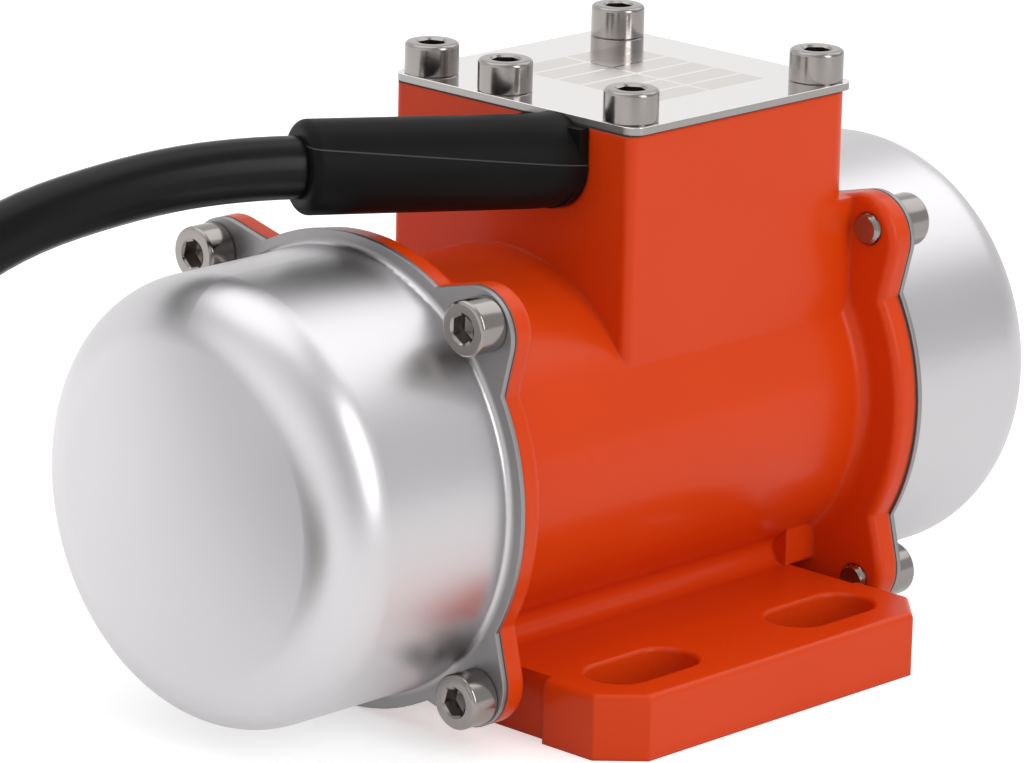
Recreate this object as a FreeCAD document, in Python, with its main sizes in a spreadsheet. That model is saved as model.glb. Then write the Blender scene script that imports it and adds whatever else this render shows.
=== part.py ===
import FreeCAD, Part
import math
import os
import Sketcher
from FreeCAD import Placement, Rotation, Vector

# A small rotary vibration motor: a cast housing with a foot and a terminal box, two bearings,
# a shaft with eccentric weights at both ends, and two deep-drawn covers over the weights.
# Millimetres. X runs along the shaft, away from the cable side. Z is up. The origin lies on
# the surface that the foot stands on, under the middle of the shaft. Sizes along and across
# the shaft are measured from its middle, so most bodies are drawn there and lifted to its height.

os.makedirs("parts", exist_ok=True)
doc = FreeCAD.newDocument("vibration_motor")

# Driving sizes
SIZES = {
    # shaft height and cast housing
    "axis_height": 37.2,
    "housing_half": 44.2,
    "barrel_radius": 29.0,
    "bore_radius": 25.0,
    "flange_thickness": 4.0,
    "cast_rim_radius": 36.4,
    "edge_round": 1.4,
    "flange_root": 2.2,
    # ears of the flanges
    "screw_offset": 28.65,
    "ear_tip": 36.5,
    "ear_round": 7.1,
    "ear_root_across": 15.0,
    "ear_root_up": 31.2,
    "ear_root_in": 17.0,
    # foot
    "foot_setback": 8.2,
    "foot_half_width": 49.5,
    "foot_thickness": 10.2,
    "foot_chamfer": 6.0,
    "foot_edge_round": 1.0,
    "foot_saddle_round": 2.5,
    "foot_relief_depth": 1.6,
    "foot_relief_inset": 16.2,
    "slot_inset_x": 15.7,
    "slot_inset_y": 10.8,
    "slot_width": 10.2,
    "slot_length": 20.4,
    "slot_rim_round": 0.6,
    "web_half_width": 20.0,
    # terminal box
    "box_left": 11.1,
    "box_setback": 1.0,
    "box_half_width": 25.1,
    "box_top": 50.4,
    "box_corner": 1.5,
    "box_corner_right": 3.5,
    "box_wall": 4.0,
    "box_floor": 31.0,
    "box_heel_top": 33.0,
    "lid_thickness": 1.2,
    "lid_gasket_thickness": 0.3,
    "lid_overhang": 0.65,
    "lid_overhang_ends": 0.05,
    "lid_corner": 2.5,
    "lid_screw_inset": 4.05,
    "boss_reach": 4.8,
    "boss_round": 3.0,
    "middle_screw_y": 5.25,
    # end covers
    "gasket_thickness": 0.3,
    "sheet_thickness": 0.8,
    "steel_rim_radius": 36.8,
    "cover_radius": 34.4,
    "cover_length": 34.1,
    "cover_end_round": 9.0,
    "cover_root_round": 1.0,
    # M5 socket-head cap screws
    "screw_radius": 2.5,
    "screw_head_radius": 4.25,
    "screw_head_height": 5.0,
    "screw_key": 4.0,
    "screw_key_depth": 2.5,
    "screw_head_chamfer": 0.4,
    "screw_tip_chamfer": 0.5,
    "cover_screw_length": 6.2,
    "lid_screw_length": 10.0,
    "screw_clearance": 0.3,
    "thread_clearance": 0.05,
    # cable boot
    "boot_y": 9.4,
    "boot_height": 44.0,
    "boot_notch_half": 6.9,
    "boot_notch_round": 6.8,
    "boot_plug_reach": 2.0,
    "boot_lip": 1.5,
    "boot_lip_thickness": 1.8,
    "boot_radius": 7.2,
    "boot_end_round": 1.6,
    "boot_bend_x": 14.5,
    "boot_bend_round": 14.0,
    "sleeve_height": 44.6,
    "sleeve_gap": 0.4,
    "boot_tip_x": 50.4,
    "boot_tip_y": 5.9,
    "boot_rise": 1.9,
    # cable
    "cable_radius": 4.8,
    "sheath_end_x": 4.0,
    "core_radius": 1.0,
    "core_spread": 1.5,
    # bearings, 12 x 32 x 10
    "bearing_inset": 13.2,
    "bearing_width": 10.0,
    "bearing_radius": 16.0,
    "bearing_bore": 6.0,
    "pitch_radius": 11.0,
    "ball_radius": 2.975,
    "race_gap": 2.0,
    "groove_clearance": 0.055,
    "cage_half_wall": 0.9,
    "cage_half_width": 4.2,
    "spring_space": 0.8,
    "spring_wire": 0.4,
    # bearing brackets and their retaining rings
    "bracket_radius": 26.5,
    "bracket_rim_wall": 3.5,
    "bracket_hub_wall": 3.5,
    "bracket_web_left": 3.0,
    "bracket_web_right": 2.5,
    "bracket_lip": 1.5,
    "bracket_lip_radius": 13.0,
    "ring_thickness": 1.2,
    "ring_width": 3.0,
    "ring_groove": 0.8,
    "seat_clearance": 0.02,
    # stator
    "winding_room": 17.0,
    "air_gap": 0.4,
    "slot_mouth": 1.6,
    "slot_inner": 15.4,
    "slot_outer": 20.6,
    "slot_inner_half": 2.3,
    "slot_outer_half": 3.4,
    "winding_gap": 0.3,
    "winding_reach": 11.0,
    "winding_outer": 22.5,
    "winding_round": 3.0,
    # rotor
    "rotor_radius": 13.8,
    "shaft_middle_radius": 7.5,
    "shaft_tail": 4.2,
    "shaft_chamfer": 0.8,
    "cage_ring_thickness": 4.0,
    "cage_ring_inner": 9.5,
    "cage_ring_outer": 13.2,
    "bar_pitch": 11.8,
    "bar_radius": 1.0,
    "spacer_radius": 8.5,
    # eccentric weights
    "weight_run_in": 0.7,
    "fixed_weight_thickness": 10.0,
    "weight_gap": 0.3,
    "weight_thickness": 8.0,
    "weight_radius": 29.0,
    "weight_hub": 11.0,
    "weight_bore_clearance": 0.05,
    "key_width": 4.0,
    "key_height": 4.0,
    "key_sink": 2.4,
    "key_inset": 1.0,
    "clamp_block_half": 6.0,
    "clamp_block_top": 17.0,
    "clamp_slit": 1.5,
    "clamp_screw_radius": 2.0,
    "clamp_screw_height": 13.0,
    "clamp_head_radius": 3.5,
    "clamp_head_height": 4.0,
    "weight_chamfer": 0.6,
    "shaft_ring_groove": 0.6,
    "shaft_ring_width": 2.6,
    # terminal block and wires
    "block_to_leads": 13.5,
    "block_length": 9.5,
    "block_half_width": 9.5,
    "block_height": 9.5,
    "pole_spacing": 6.0,
    "pole_radius": 1.5,
    "pole_height": 3.5,
    "pole_screw_radius": 1.1,
    "pole_screw_inset": 2.4,
    "block_screw_radius": 1.0,
    "block_screw_grip": 3.0,
    "small_head_radius": 1.8,
    "small_head_height": 1.0,
    "small_slot": 0.5,
    "wire_bend": 2.5,
    "lead_reach": 7.5,
    "lead_slot_half_width": 2.5,
    "lead_slot_half_length": 7.5,
    "earth_x": 6.8,
    "core_turn_near": 0.5,
    "core_turn_far": 5.0,
    "core_turn_earth": 2.5,
    "lug_tail": 2.0,
    "earth_y": 15.5,
    "earth_screw_radius": 2.0,
    "earth_head_radius": 3.5,
    "earth_head_height": 2.4,
    "earth_screw_length": 4.0,
    "lug_thickness": 0.8,
    "lug_ring": 3.8,
    "lug_barrel": 1.6,
    # free cable and its put-away coil
    "cable_reach": 145.0,
    "tail_sheath": 16.0,
    "tail_cores": 22.0,
    "coil_mid_radius": 49.8,
    "coil_lift": 1.2,
    "tie_width": 5.0,
    "tie_clearance": 0.1,
}

# Sizes that follow from the driving ones
RELATIONS = {
    "housing_length": "2 * housing_half",
    "flange_inner": "housing_half - flange_thickness",
    "flange_drill": "flange_thickness + 2",
    "foot_half_length": "housing_half - foot_setback",
    "foot_relief_half": "foot_half_width - foot_relief_inset",
    "slot_half_spacing_x": "foot_half_length - slot_inset_x",
    "slot_half_spacing_y": "foot_half_width - slot_inset_y",
    "box_right": "flange_inner - box_setback",
    "slot_half_run": "(slot_length - slot_width) / 2",
    "slot_radius": "slot_width / 2",
    "foot_top": "foot_thickness - axis_height",
    "foot_waist": "foot_half_width - foot_chamfer",
    "foot_knee": "foot_half_length - foot_chamfer",
    "foot_relief_x": "foot_half_length - foot_relief_depth",
    "web_start": "foot_relief_x - 1",
    "web_length": "flange_inner - web_start + 1",
    "web_height": "barrel_radius / 3",
    "box_depth": "box_top - box_floor",
    "box_middle": "(box_right - box_left) / 2",
    "cavity_left": "box_wall - box_left",
    "cavity_right": "box_right - box_wall",
    "cavity_half": "box_half_width - box_wall",
    "lid_screw_left": "lid_screw_inset - box_left",
    "lid_screw_right": "box_right - lid_screw_inset",
    "lid_screw_y": "box_half_width - lid_screw_inset",
    "boss_left_edge": "lid_screw_left + boss_reach",
    "boss_right_edge": "lid_screw_right - boss_reach",
    "boss_edge_y": "lid_screw_y - boss_reach",
    "middle_boss_far": "middle_screw_y + boss_reach",
    "middle_boss_near": "middle_screw_y - boss_reach",
    "lid_screw_drill": "lid_screw_length - lid_thickness - lid_gasket_thickness + 1",
    "lid_bottom": "box_top + lid_gasket_thickness",
    "lid_top": "lid_bottom + lid_thickness",
    "lid_left": "box_left + lid_overhang_ends",
    "lid_right": "box_right + lid_overhang_ends",
    "lid_half_width": "box_half_width + lid_overhang",
    "cover_flange_inner": "housing_half + gasket_thickness",
    "cover_flange_outer": "cover_flange_inner + sheet_thickness",
    "cover_end": "cover_flange_inner + cover_length",
    "cover_opening": "cover_radius + cover_root_round",
    "cover_end_inner": "cover_end - sheet_thickness",
    "cover_inner_radius": "cover_radius - sheet_thickness",
    "cover_end_round_in": "cover_end_round - sheet_thickness",
    "cover_root_round_in": "cover_root_round + sheet_thickness",
    "screw_hole": "screw_radius + screw_clearance",
    "tapped_hole": "screw_radius + thread_clearance",
    "boot_tip_height": "sleeve_height + boot_rise",
    "boot_bottom": "boot_height - boot_notch_half",
    "boot_notch_left": "-boot_y - boot_notch_half",
    "boot_notch_right": "boot_notch_half - boot_y",
    "boot_notch_top": "box_top + 1",
    "boot_plug_start": "box_left + boot_plug_reach",
    "boot_plug_length": "box_wall + boot_plug_reach",
    "sleeve_start": "box_left + sleeve_gap",
    "boot_side": "sqrt((boot_tip_y + boot_y) ^ 2 + (boot_tip_height - sleeve_height) ^ 2)",
    "boot_tilt": "atan((boot_tip_height - sleeve_height) / (boot_tip_y + boot_y)) / 1 deg",
    "cable_bore": "cable_radius + thread_clearance",
    "box_outside": "box_left + 1",
    "notch_depth": "box_wall + 1",
    "key_flat": "screw_key / 2",
    "key_corner": "screw_key / sqrt(3)",
    "key_side": "key_corner / 2",
    "bearing_start": "housing_half - bearing_inset",
    "bearing_end": "bearing_start + bearing_width",
    "bearing_middle": "bearing_start + bearing_width / 2",
    "bearing_seat": "bearing_radius + seat_clearance",
    "shoulder_radius": "pitch_radius + race_gap",
    "inner_shoulder": "pitch_radius - race_gap",
    "groove_radius": "ball_radius + groove_clearance",
    "race_bore": "bearing_bore + seat_clearance",
    "spring_start": "bearing_start - spring_space",
    "bracket_seat": "bracket_radius - seat_clearance",
    "bracket_rim_inner": "bracket_radius - bracket_rim_wall",
    "bracket_hub_outer": "bearing_radius + bracket_hub_wall",
    "bracket_web_start": "bearing_start + bracket_web_left",
    "bracket_web_end": "bearing_end - bracket_web_right",
    "ring_end": "bearing_end + ring_thickness",
    "ring_outer": "bracket_radius + ring_groove",
    "ring_inner": "ring_outer - ring_width",
    "ring_fit": "ring_outer - thread_clearance",
    "stator_half": "bearing_start - winding_room",
    "stator_bore": "rotor_radius + air_gap",
    "stator_radius": "bore_radius - seat_clearance",
    "stator_length": "2 * stator_half",
    "mouth_half": "slot_mouth / 2",
    "coil_inner_half": "slot_inner_half - winding_gap",
    "coil_outer_half": "slot_outer_half - winding_gap",
    "coil_inner": "slot_inner + winding_gap",
    "coil_outer": "slot_outer - winding_gap",
    "winding_start": "stator_half + winding_gap",
    "winding_end": "stator_half + winding_reach",
    "coil_bar_length": "2 * winding_start + 1",
    "coil_bar_start": "winding_start + 0.5",
    "rotor_bore": "shaft_middle_radius + seat_clearance",
    "bar_hole": "bar_radius + thread_clearance",
    "cage_ring_end": "stator_half + cage_ring_thickness",
    "cage_bar_start": "stator_half + 1",
    "cage_bar_length": "2 * cage_bar_start",
    "fixed_weight_start": "cover_flange_outer + weight_run_in",
    "fixed_weight_end": "fixed_weight_start + fixed_weight_thickness",
    "weight_start": "fixed_weight_end + weight_gap",
    "weight_end": "weight_start + weight_thickness",
    "weight_bore": "bearing_bore + weight_bore_clearance",
    "shaft_ring_start": "weight_end + weight_gap",
    "shaft_ring_end": "shaft_ring_start + ring_thickness",
    "shaft_end": "shaft_ring_end + shaft_tail",
    "shaft_ring_inner": "bearing_bore - shaft_ring_groove",
    "shaft_ring_fit": "shaft_ring_inner + thread_clearance",
    "shaft_ring_outer": "shaft_ring_inner + shaft_ring_width",
    "key_start": "fixed_weight_start + key_inset",
    "key_length": "fixed_weight_thickness - 2 * key_inset",
    "key_bottom": "bearing_bore - key_sink",
    "key_top": "key_bottom + key_height",
    "key_half": "key_width / 2",
    "clamp_slit_half": "clamp_slit / 2",
    "lead_x": "stator_half + lead_reach",
    "block_start": "lead_x - block_to_leads",
    "block_end": "block_start + block_length",
    "block_top": "box_floor + block_height",
    "pole_level": "box_floor + pole_height",
    "block_middle": "block_start + block_length / 2",
    "block_through": "block_length + 2",
    "pole_screw_hole": "pole_screw_radius + thread_clearance",
    "pole_screw_depth": "block_height - pole_height",
    "pole_screw_length": "pole_screw_depth - core_radius",
    "block_screw_hole": "block_screw_radius + thread_clearance",
    "block_screw_y": "pole_spacing / 2",
    "block_screw_length": "block_height + block_screw_grip",
    "block_screw_drill": "block_screw_grip + 0.5",
    "small_slot_half": "small_slot / 2",
    "earth_hole": "earth_screw_radius + thread_clearance",
    "lug_bore": "core_radius + thread_clearance",
    "lug_level": "box_floor + lug_barrel",
    "clamp_hole": "clamp_screw_radius + thread_clearance",
    "clamp_hole_start": "clamp_block_half + 1",
    "clamp_hole_depth": "2 * clamp_hole_start",
    "clamp_screw_length": "2 * clamp_block_half",
    "weight_middle": "weight_start + weight_thickness / 2",
    "key_end": "key_start + key_length",
    "keyway_depth": "key_sink + 1",
    "keyway_top": "bearing_bore + 1",
    "key_slot_half": "key_half + seat_clearance",
    "key_slot_top": "key_top + 2 * thread_clearance",
    "spring_inner": "bracket_lip_radius + spring_wire",
    "spring_outer": "bearing_radius - spring_wire",
    "spacer_length": "fixed_weight_start - bearing_end",
    "lead_slot_depth": "box_floor - bore_radius + 2",
    "coil_inner_track": "coil_mid_radius - cable_radius",
    "coil_outer_track": "coil_mid_radius + cable_radius",
    "coil_inside": "coil_mid_radius - 2 * cable_radius",
    "coil_outside": "coil_mid_radius + 2 * cable_radius",
    "coil_top": "coil_lift + 4 * cable_radius",
    "coil_round": "0.9 * cable_radius",
    "tie_inner": "coil_inside - coil_lift",
    "tie_outer": "coil_outside + coil_lift",
    "tie_top": "coil_top + coil_lift",
    "tie_half": "tie_width / 2",
}

# The sheet that drives the model
sheet = doc.addObject("Spreadsheet::Sheet", "dims")
size = {}
for row, (name, value) in enumerate(list(SIZES.items()) + list(RELATIONS.items()), start=1):
    cell = f"B{row}"
    sheet.set(f"A{row}", name)
    sheet.set(cell, "=" + value if isinstance(value, str) else str(value))
    sheet.setAlias(cell, name)
sheet.recompute()
for name in list(SIZES) + list(RELATIONS):
    value = sheet.get(name)
    size[name] = float(getattr(value, "Value", value))


def words(formula):
    """Split a sum of sheet names and numbers, such as '-box_left + box_wall', into its words."""
    return formula.replace("-", " - ").replace("+", " + ").split()


def number(formula):
    """The value of a sum of sheet names and numbers."""
    total = 0.0
    sign = 1.0
    for word in words(formula):
        if word == "-":
            sign = -1.0
        elif word != "+":
            total += sign * (size[word] if word in size else float(word))
            sign = 1.0
    return total


def bound(formula):
    """The same sum as an expression that reads the sheet."""
    return " ".join("dims." + word if word in size else word for word in words(formula))


def negative(formula):
    """The sum of one name with its sign changed."""
    return formula[1:] if formula.startswith("-") else "-" + formula


# Bodies, sketches and features, all bound to the sheet
def new_body(label, turned=False):
    """A body drawn about the shaft. The left end's pieces are the right end's, turned round Z."""
    body = doc.addObject("PartDesign::Body", label)
    turn = Rotation(Vector(0, 0, 1), 180 if turned else 0)
    body.Placement = Placement(Vector(0, 0, size["axis_height"]), turn)
    body.setExpression("Placement.Base.z", "dims.axis_height")
    return body


def origin_feature(body, role):
    return next(part for part in body.Origin.OriginFeatures if part.Role == role)


def new_sketch(body, role, away="0"):
    """A sketch on one of the body's origin planes, moved along the plane's normal."""
    sketch = body.newObject("Sketcher::SketchObject", body.Name + "_sketch")
    sketch.AttachmentSupport = [(origin_feature(body, role), "")]
    sketch.MapMode = "FlatFace"
    sketch.AttachmentOffset = Placement(Vector(0, 0, number(away)), Rotation())
    sketch.setExpression("AttachmentOffset.Base.z", bound(away))
    return sketch


def fix(sketch, kind, geometry, point, formula):
    """Hold one coordinate of a point at a sum of sheet names."""
    if formula == "0":
        axis = -2 if kind == "DistanceX" else -1
        sketch.addConstraint(Sketcher.Constraint("PointOnObject", geometry, point, axis))
        return
    index = sketch.addConstraint(Sketcher.Constraint(kind, geometry, point, number(formula)))
    sketch.setExpression(f"Constraints[{index}]", bound(formula))


def fix_radius(sketch, geometry, formula):
    index = sketch.addConstraint(Sketcher.Constraint("Radius", geometry, number(formula)))
    sketch.setExpression(f"Constraints[{index}]", bound(formula))


def circle(sketch, across, up, radius):
    centre = Vector(number(across), number(up), 0)
    index = sketch.addGeometry(Part.Circle(centre, Vector(0, 0, 1), number(radius)), False)
    fix(sketch, "DistanceX", index, 3, across)
    fix(sketch, "DistanceY", index, 3, up)
    fix_radius(sketch, index, radius)


def corner_arc(point, before, after, radius):
    """Where the arc of a rounded corner starts and ends, its centre, and which way it turns."""
    back = (before - point).normalize()
    on = (after - point).normalize()
    half = back.getAngle(on) / 2
    reach = radius / math.tan(half)
    middle = (back + on).normalize() * (radius / math.sin(half))
    left_turn = (back.x * on.y - back.y * on.x) < 0
    return point + back * reach, point + on * reach, point + middle, left_turn


def outline(sketch, corners, closed=True):
    """A line through corners: (across, up), or (across, up, radius) where it is rounded."""
    points = [Vector(number(corner[0]), number(corner[1]), 0) for corner in corners]
    count = len(points)
    arrive = list(points)
    leave = list(points)
    arcs = {}
    for i, corner in enumerate(corners):
        if len(corner) == 3:
            radius = number(corner[2])
            after = points[(i + 1) % count]
            arrive[i], leave[i], centre, left_turn = corner_arc(points[i], points[i - 1], after, radius)
            arcs[i] = (centre, radius, left_turn)
    lines = {}
    for i in range(count if closed else count - 1):
        lines[i] = sketch.addGeometry(Part.LineSegment(leave[i], arrive[(i + 1) % count]), False)
    for i, corner in enumerate(corners):
        before = lines.get((i - 1) % count)
        after = lines.get(i)
        if i not in arcs:
            end = (after, 1) if after is not None else (before, 2)
            if before is not None and after is not None:
                sketch.addConstraint(Sketcher.Constraint("Coincident", before, 2, after, 1))
            fix(sketch, "DistanceX", *end, corner[0])
            fix(sketch, "DistanceY", *end, corner[1])
            continue
        centre, radius, left_turn = arcs[i]
        first = arrive[i] if left_turn else leave[i]
        last = leave[i] if left_turn else arrive[i]
        start = math.atan2(first.y - centre.y, first.x - centre.x)
        stop = math.atan2(last.y - centre.y, last.x - centre.x)
        if stop < start:
            stop += 2 * math.pi
        ring = Part.Circle(centre, Vector(0, 0, 1), radius)
        arc = sketch.addGeometry(Part.ArcOfCircle(ring, start, stop), False)
        sharp = sketch.addGeometry(Part.Point(points[i]), True)
        sketch.addConstraint(Sketcher.Constraint("PointOnObject", sharp, 1, before))
        sketch.addConstraint(Sketcher.Constraint("PointOnObject", sharp, 1, after))
        fix(sketch, "DistanceX", sharp, 1, corner[0])
        fix(sketch, "DistanceY", sharp, 1, corner[1])
        sketch.addConstraint(Sketcher.Constraint("Tangent", before, 2, arc, 1 if left_turn else 2))
        sketch.addConstraint(Sketcher.Constraint("Tangent", arc, 2 if left_turn else 1, after, 1))
        fix_radius(sketch, arc, corner[2])


def rectangle(sketch, low_across, low_up, high_across, high_up, radius=None):
    corners = [(low_across, low_up), (high_across, low_up), (high_across, high_up), (low_across, high_up)]
    outline(sketch, [corner + (radius,) if radius else corner for corner in corners])


def feature(body, kind, sketch):
    made = body.newObject("PartDesign::" + kind, body.Name + "_" + kind.lower())
    made.Profile = sketch
    sketch.Visibility = False
    return made


def finish(body, made, cuts=False):
    """Recompute, and make sure that the feature added or removed something."""
    before = made.BaseFeature.Shape.Volume if made.BaseFeature else 0.0
    doc.recompute()
    change = made.Shape.Volume - before
    if (cuts and change >= 0) or (not cuts and change <= 0):
        raise RuntimeError(f"{made.Name} changes the volume by {change:.3f}")
    return made


def pad(body, sketch, length, backwards=False):
    made = feature(body, "Pad", sketch)
    made.Length = number(length)
    made.setExpression("Length", bound(length))
    made.Reversed = backwards
    return finish(body, made)


def pocket(body, sketch, depth, forwards=False):
    """Cut against the sketch's normal, or along it when forwards."""
    made = feature(body, "Pocket", sketch)
    made.Length = number(depth)
    made.setExpression("Length", bound(depth))
    made.Reversed = forwards
    return finish(body, made, cuts=True)


def revolve(body, sketch, kind="Revolution", angle=360):
    """Turn a profile about the shaft, to add or, as a Groove, to cut."""
    made = feature(body, kind, sketch)
    made.ReferenceAxis = (sketch, ["H_Axis"])
    made.Angle = angle
    return finish(body, made, cuts=kind == "Groove")


def repeat_round(body, made, count, cuts=False):
    """Repeat a feature evenly round the shaft."""
    pattern = body.newObject("PartDesign::PolarPattern", body.Name + "_pattern")
    pattern.Originals = [made]
    pattern.Axis = (origin_feature(body, "X_Axis"), [""])
    pattern.Angle = 360
    pattern.Occurrences = count
    body.Tip = pattern
    before = made.Shape.Volume
    doc.recompute()
    if (pattern.Shape.Volume < before) != cuts:
        raise RuntimeError(f"{pattern.Name} changed nothing")
    return pattern


def round_edges(body, radius, chosen, kind="Fillet"):
    """Round, or chamfer, the edges of the body so far that the function chooses."""
    base = body.Tip
    edges = [f"Edge{i}" for i, edge in enumerate(base.Shape.Edges, start=1) if chosen(edge)]
    made = body.newObject("PartDesign::" + kind, body.Name + "_" + kind.lower())
    made.Base = (base, edges)
    rounding = "Radius" if kind == "Fillet" else "Size"
    setattr(made, rounding, number(radius))
    made.setExpression(rounding, bound(radius))
    doc.recompute()
    if not made.Shape.isValid():
        raise RuntimeError(f"{made.Name} is not valid")
    return made


def near(value, target, slack=0.02):
    return abs(value - target) < slack


def straight_run(edge, axis):
    """Whether an edge is a straight one along the axis 0, 1 or 2."""
    if len(edge.Vertexes) != 2 or not isinstance(edge.Curve, (Part.Line, Part.LineSegment)):
        return False
    span = edge.Vertexes[1].Point - edge.Vertexes[0].Point
    return near(abs(span[axis]), span.Length)


# Cast housing
def four_ears(sketch):
    """The outlines of four screw ears at 45 degrees, each reaching in to the barrel."""
    for side in ("", "-"):
        for top in ("", "-"):
            outline(sketch, [
                (side + "ear_root_in", top + "ear_root_in"),
                (side + "ear_root_up", top + "ear_root_across"),
                (side + "ear_tip", top + "ear_tip", "ear_round"),
                (side + "ear_root_across", top + "ear_root_up"),
            ])


def four_screw_places(sketch, radius):
    for side in ("", "-"):
        for top in ("", "-"):
            circle(sketch, side + "screw_offset", top + "screw_offset", radius)


def housing_foot(body):
    """The foot plate with its chamfered corners and the shallow relief across each end."""
    sketch = new_sketch(body, "XY_Plane", "-axis_height")
    outline(sketch, [
        ("-foot_half_length", "-foot_waist"), ("-foot_knee", "-foot_half_width"),
        ("foot_knee", "-foot_half_width"), ("foot_half_length", "-foot_waist"),
        ("foot_half_length", "foot_waist"), ("foot_knee", "foot_half_width"),
        ("-foot_knee", "foot_half_width"), ("-foot_half_length", "foot_waist"),
    ])
    pad(body, sketch, "foot_thickness")
    for side in ("", "-"):
        sketch = new_sketch(body, "XY_Plane", "foot_top")
        rectangle(sketch, side + "foot_relief_x", "-foot_relief_half",
                  side + "foot_half_length " + (side or "+") + " 1", "foot_relief_half")
        pocket(body, sketch, "foot_thickness")


def housing_webs(body):
    """A web on each side of the shaft line, from the foot's end to the flange, under the barrel."""
    sketch = new_sketch(body, "YZ_Plane", "web_start")
    rectangle(sketch, "-web_half_width", "foot_top", "web_half_width", "foot_top + web_height")
    pad(body, sketch, "web_length")
    sketch = new_sketch(body, "YZ_Plane", "-web_start")
    rectangle(sketch, "-web_half_width", "foot_top", "web_half_width", "foot_top + web_height")
    pad(body, sketch, "web_length", backwards=True)


def housing_barrel(body):
    """The barrel between two flanges, each flange a round rim with four ears."""
    sketch = new_sketch(body, "YZ_Plane", "-housing_half")
    circle(sketch, "0", "0", "barrel_radius")
    pad(body, sketch, "housing_length")
    for start in ("-housing_half", "flange_inner"):
        sketch = new_sketch(body, "YZ_Plane", start)
        circle(sketch, "0", "0", "cast_rim_radius")
        pad(body, sketch, "flange_thickness")
        sketch = new_sketch(body, "YZ_Plane", start)
        four_ears(sketch)
        pad(body, sketch, "flange_thickness")


def housing_rounds(body):
    """Casting radii: barrel to foot, barrel to flanges, flange edges and the foot's top edge."""
    foot_top = size["foot_top"]
    flange_inner = size["flange_inner"]
    barrel = size["barrel_radius"]
    crease_y = math.sqrt(barrel ** 2 - foot_top ** 2)

    def saddle(edge):
        place = edge.CenterOfMass
        return straight_run(edge, 0) and near(place.z, foot_top) and near(abs(place.y), crease_y)

    def flange_root(edge):
        place = edge.Vertexes[0].Point
        on_face = all(near(abs(v.Point.x), flange_inner) for v in edge.Vertexes)
        return on_face and near(math.hypot(place.y, place.z), barrel) and edge.Length > barrel

    def flange_rim(edge):
        if not all(near(abs(v.Point.x), flange_inner) for v in edge.Vertexes):
            return False
        middle = edge.valueAt((edge.FirstParameter + edge.LastParameter) / 2)
        return near(abs(middle.x), flange_inner) and math.hypot(middle.y, middle.z) > barrel + 3

    def foot_rim(edge):
        place = edge.CenterOfMass
        return near(place.z, foot_top) and abs(place.y) > size["foot_relief_half"]

    round_edges(body, "foot_saddle_round", saddle)
    round_edges(body, "flange_root", flange_root)
    round_edges(body, "edge_round", flange_rim)
    round_edges(body, "foot_edge_round", foot_rim)


def box_outline(sketch):
    """The terminal box seen from above, its right corners rounder where they meet the flange."""
    outline(sketch, [
        ("-box_left", "-box_half_width", "box_corner"),
        ("box_right", "-box_half_width", "box_corner_right"),
        ("box_right", "box_half_width", "box_corner_right"),
        ("-box_left", "box_half_width", "box_corner"),
    ])


def housing_box(body):
    """The terminal box on the barrel, joined to the right flange by its heel."""
    sketch = new_sketch(body, "XY_Plane")
    box_outline(sketch)
    pad(body, sketch, "box_top")
    sketch = new_sketch(body, "XY_Plane")
    rectangle(sketch, "box_middle", "-box_half_width", "flange_inner + 1", "box_half_width")
    pad(body, sketch, "box_heel_top")


def cavity_outline(sketch):
    """The space inside the box, leaving a boss for each lid screw."""
    left, right, far = "boss_left_edge", "boss_right_edge", "boss_edge_y"
    outline(sketch, [
        ("cavity_left", "-" + far), (left, "-" + far, "boss_round"), (left, "-cavity_half"),
        (right, "-cavity_half"), (right, "-" + far, "boss_round"), ("cavity_right", "-" + far),
        ("cavity_right", far), (right, far, "boss_round"), (right, "cavity_half"),
        (left, "cavity_half"), (left, far, "boss_round"), ("cavity_left", far),
        ("cavity_left", "middle_boss_far"), (left, "middle_boss_far", "boss_round"),
        (left, "middle_boss_near", "boss_round"), ("cavity_left", "middle_boss_near"),
    ])


def lid_screw_places(sketch, radius):
    for across in ("lid_screw_left", "lid_screw_right"):
        for up in ("lid_screw_y", "-lid_screw_y"):
            circle(sketch, across, up, radius)
    circle(sketch, "lid_screw_left", "middle_screw_y", radius)


def notch_outline(sketch, left="boot_notch_left", right="boot_notch_right", low="boot_bottom",
                  top="boot_notch_top"):
    """The U notch for the cable boot, seen along the shaft."""
    outline(sketch, [
        (left, top), (left, low, "boot_notch_round"), (right, low, "boot_notch_round"), (right, top),
    ])


def housing_inside(body):
    """The bore with its bracket seats and ring grooves, turned in one profile."""
    half = [
        ("housing_half + 1", "bracket_radius"), ("ring_end", "bracket_radius"),
        ("ring_end", "ring_outer"), ("bearing_end", "ring_outer"),
        ("bearing_end", "bracket_radius"), ("bearing_start", "bracket_radius"),
        ("bearing_start", "bore_radius"),
    ]
    other = [(negative(across.replace(" + ", " - ")), up) for across, up in reversed(half)]
    ends = [("-housing_half - 1", "0"), ("housing_half + 1", "0")]
    sketch = new_sketch(body, "XZ_Plane")
    outline(sketch, ends + half + other)
    revolve(body, sketch, "Groove")


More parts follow.
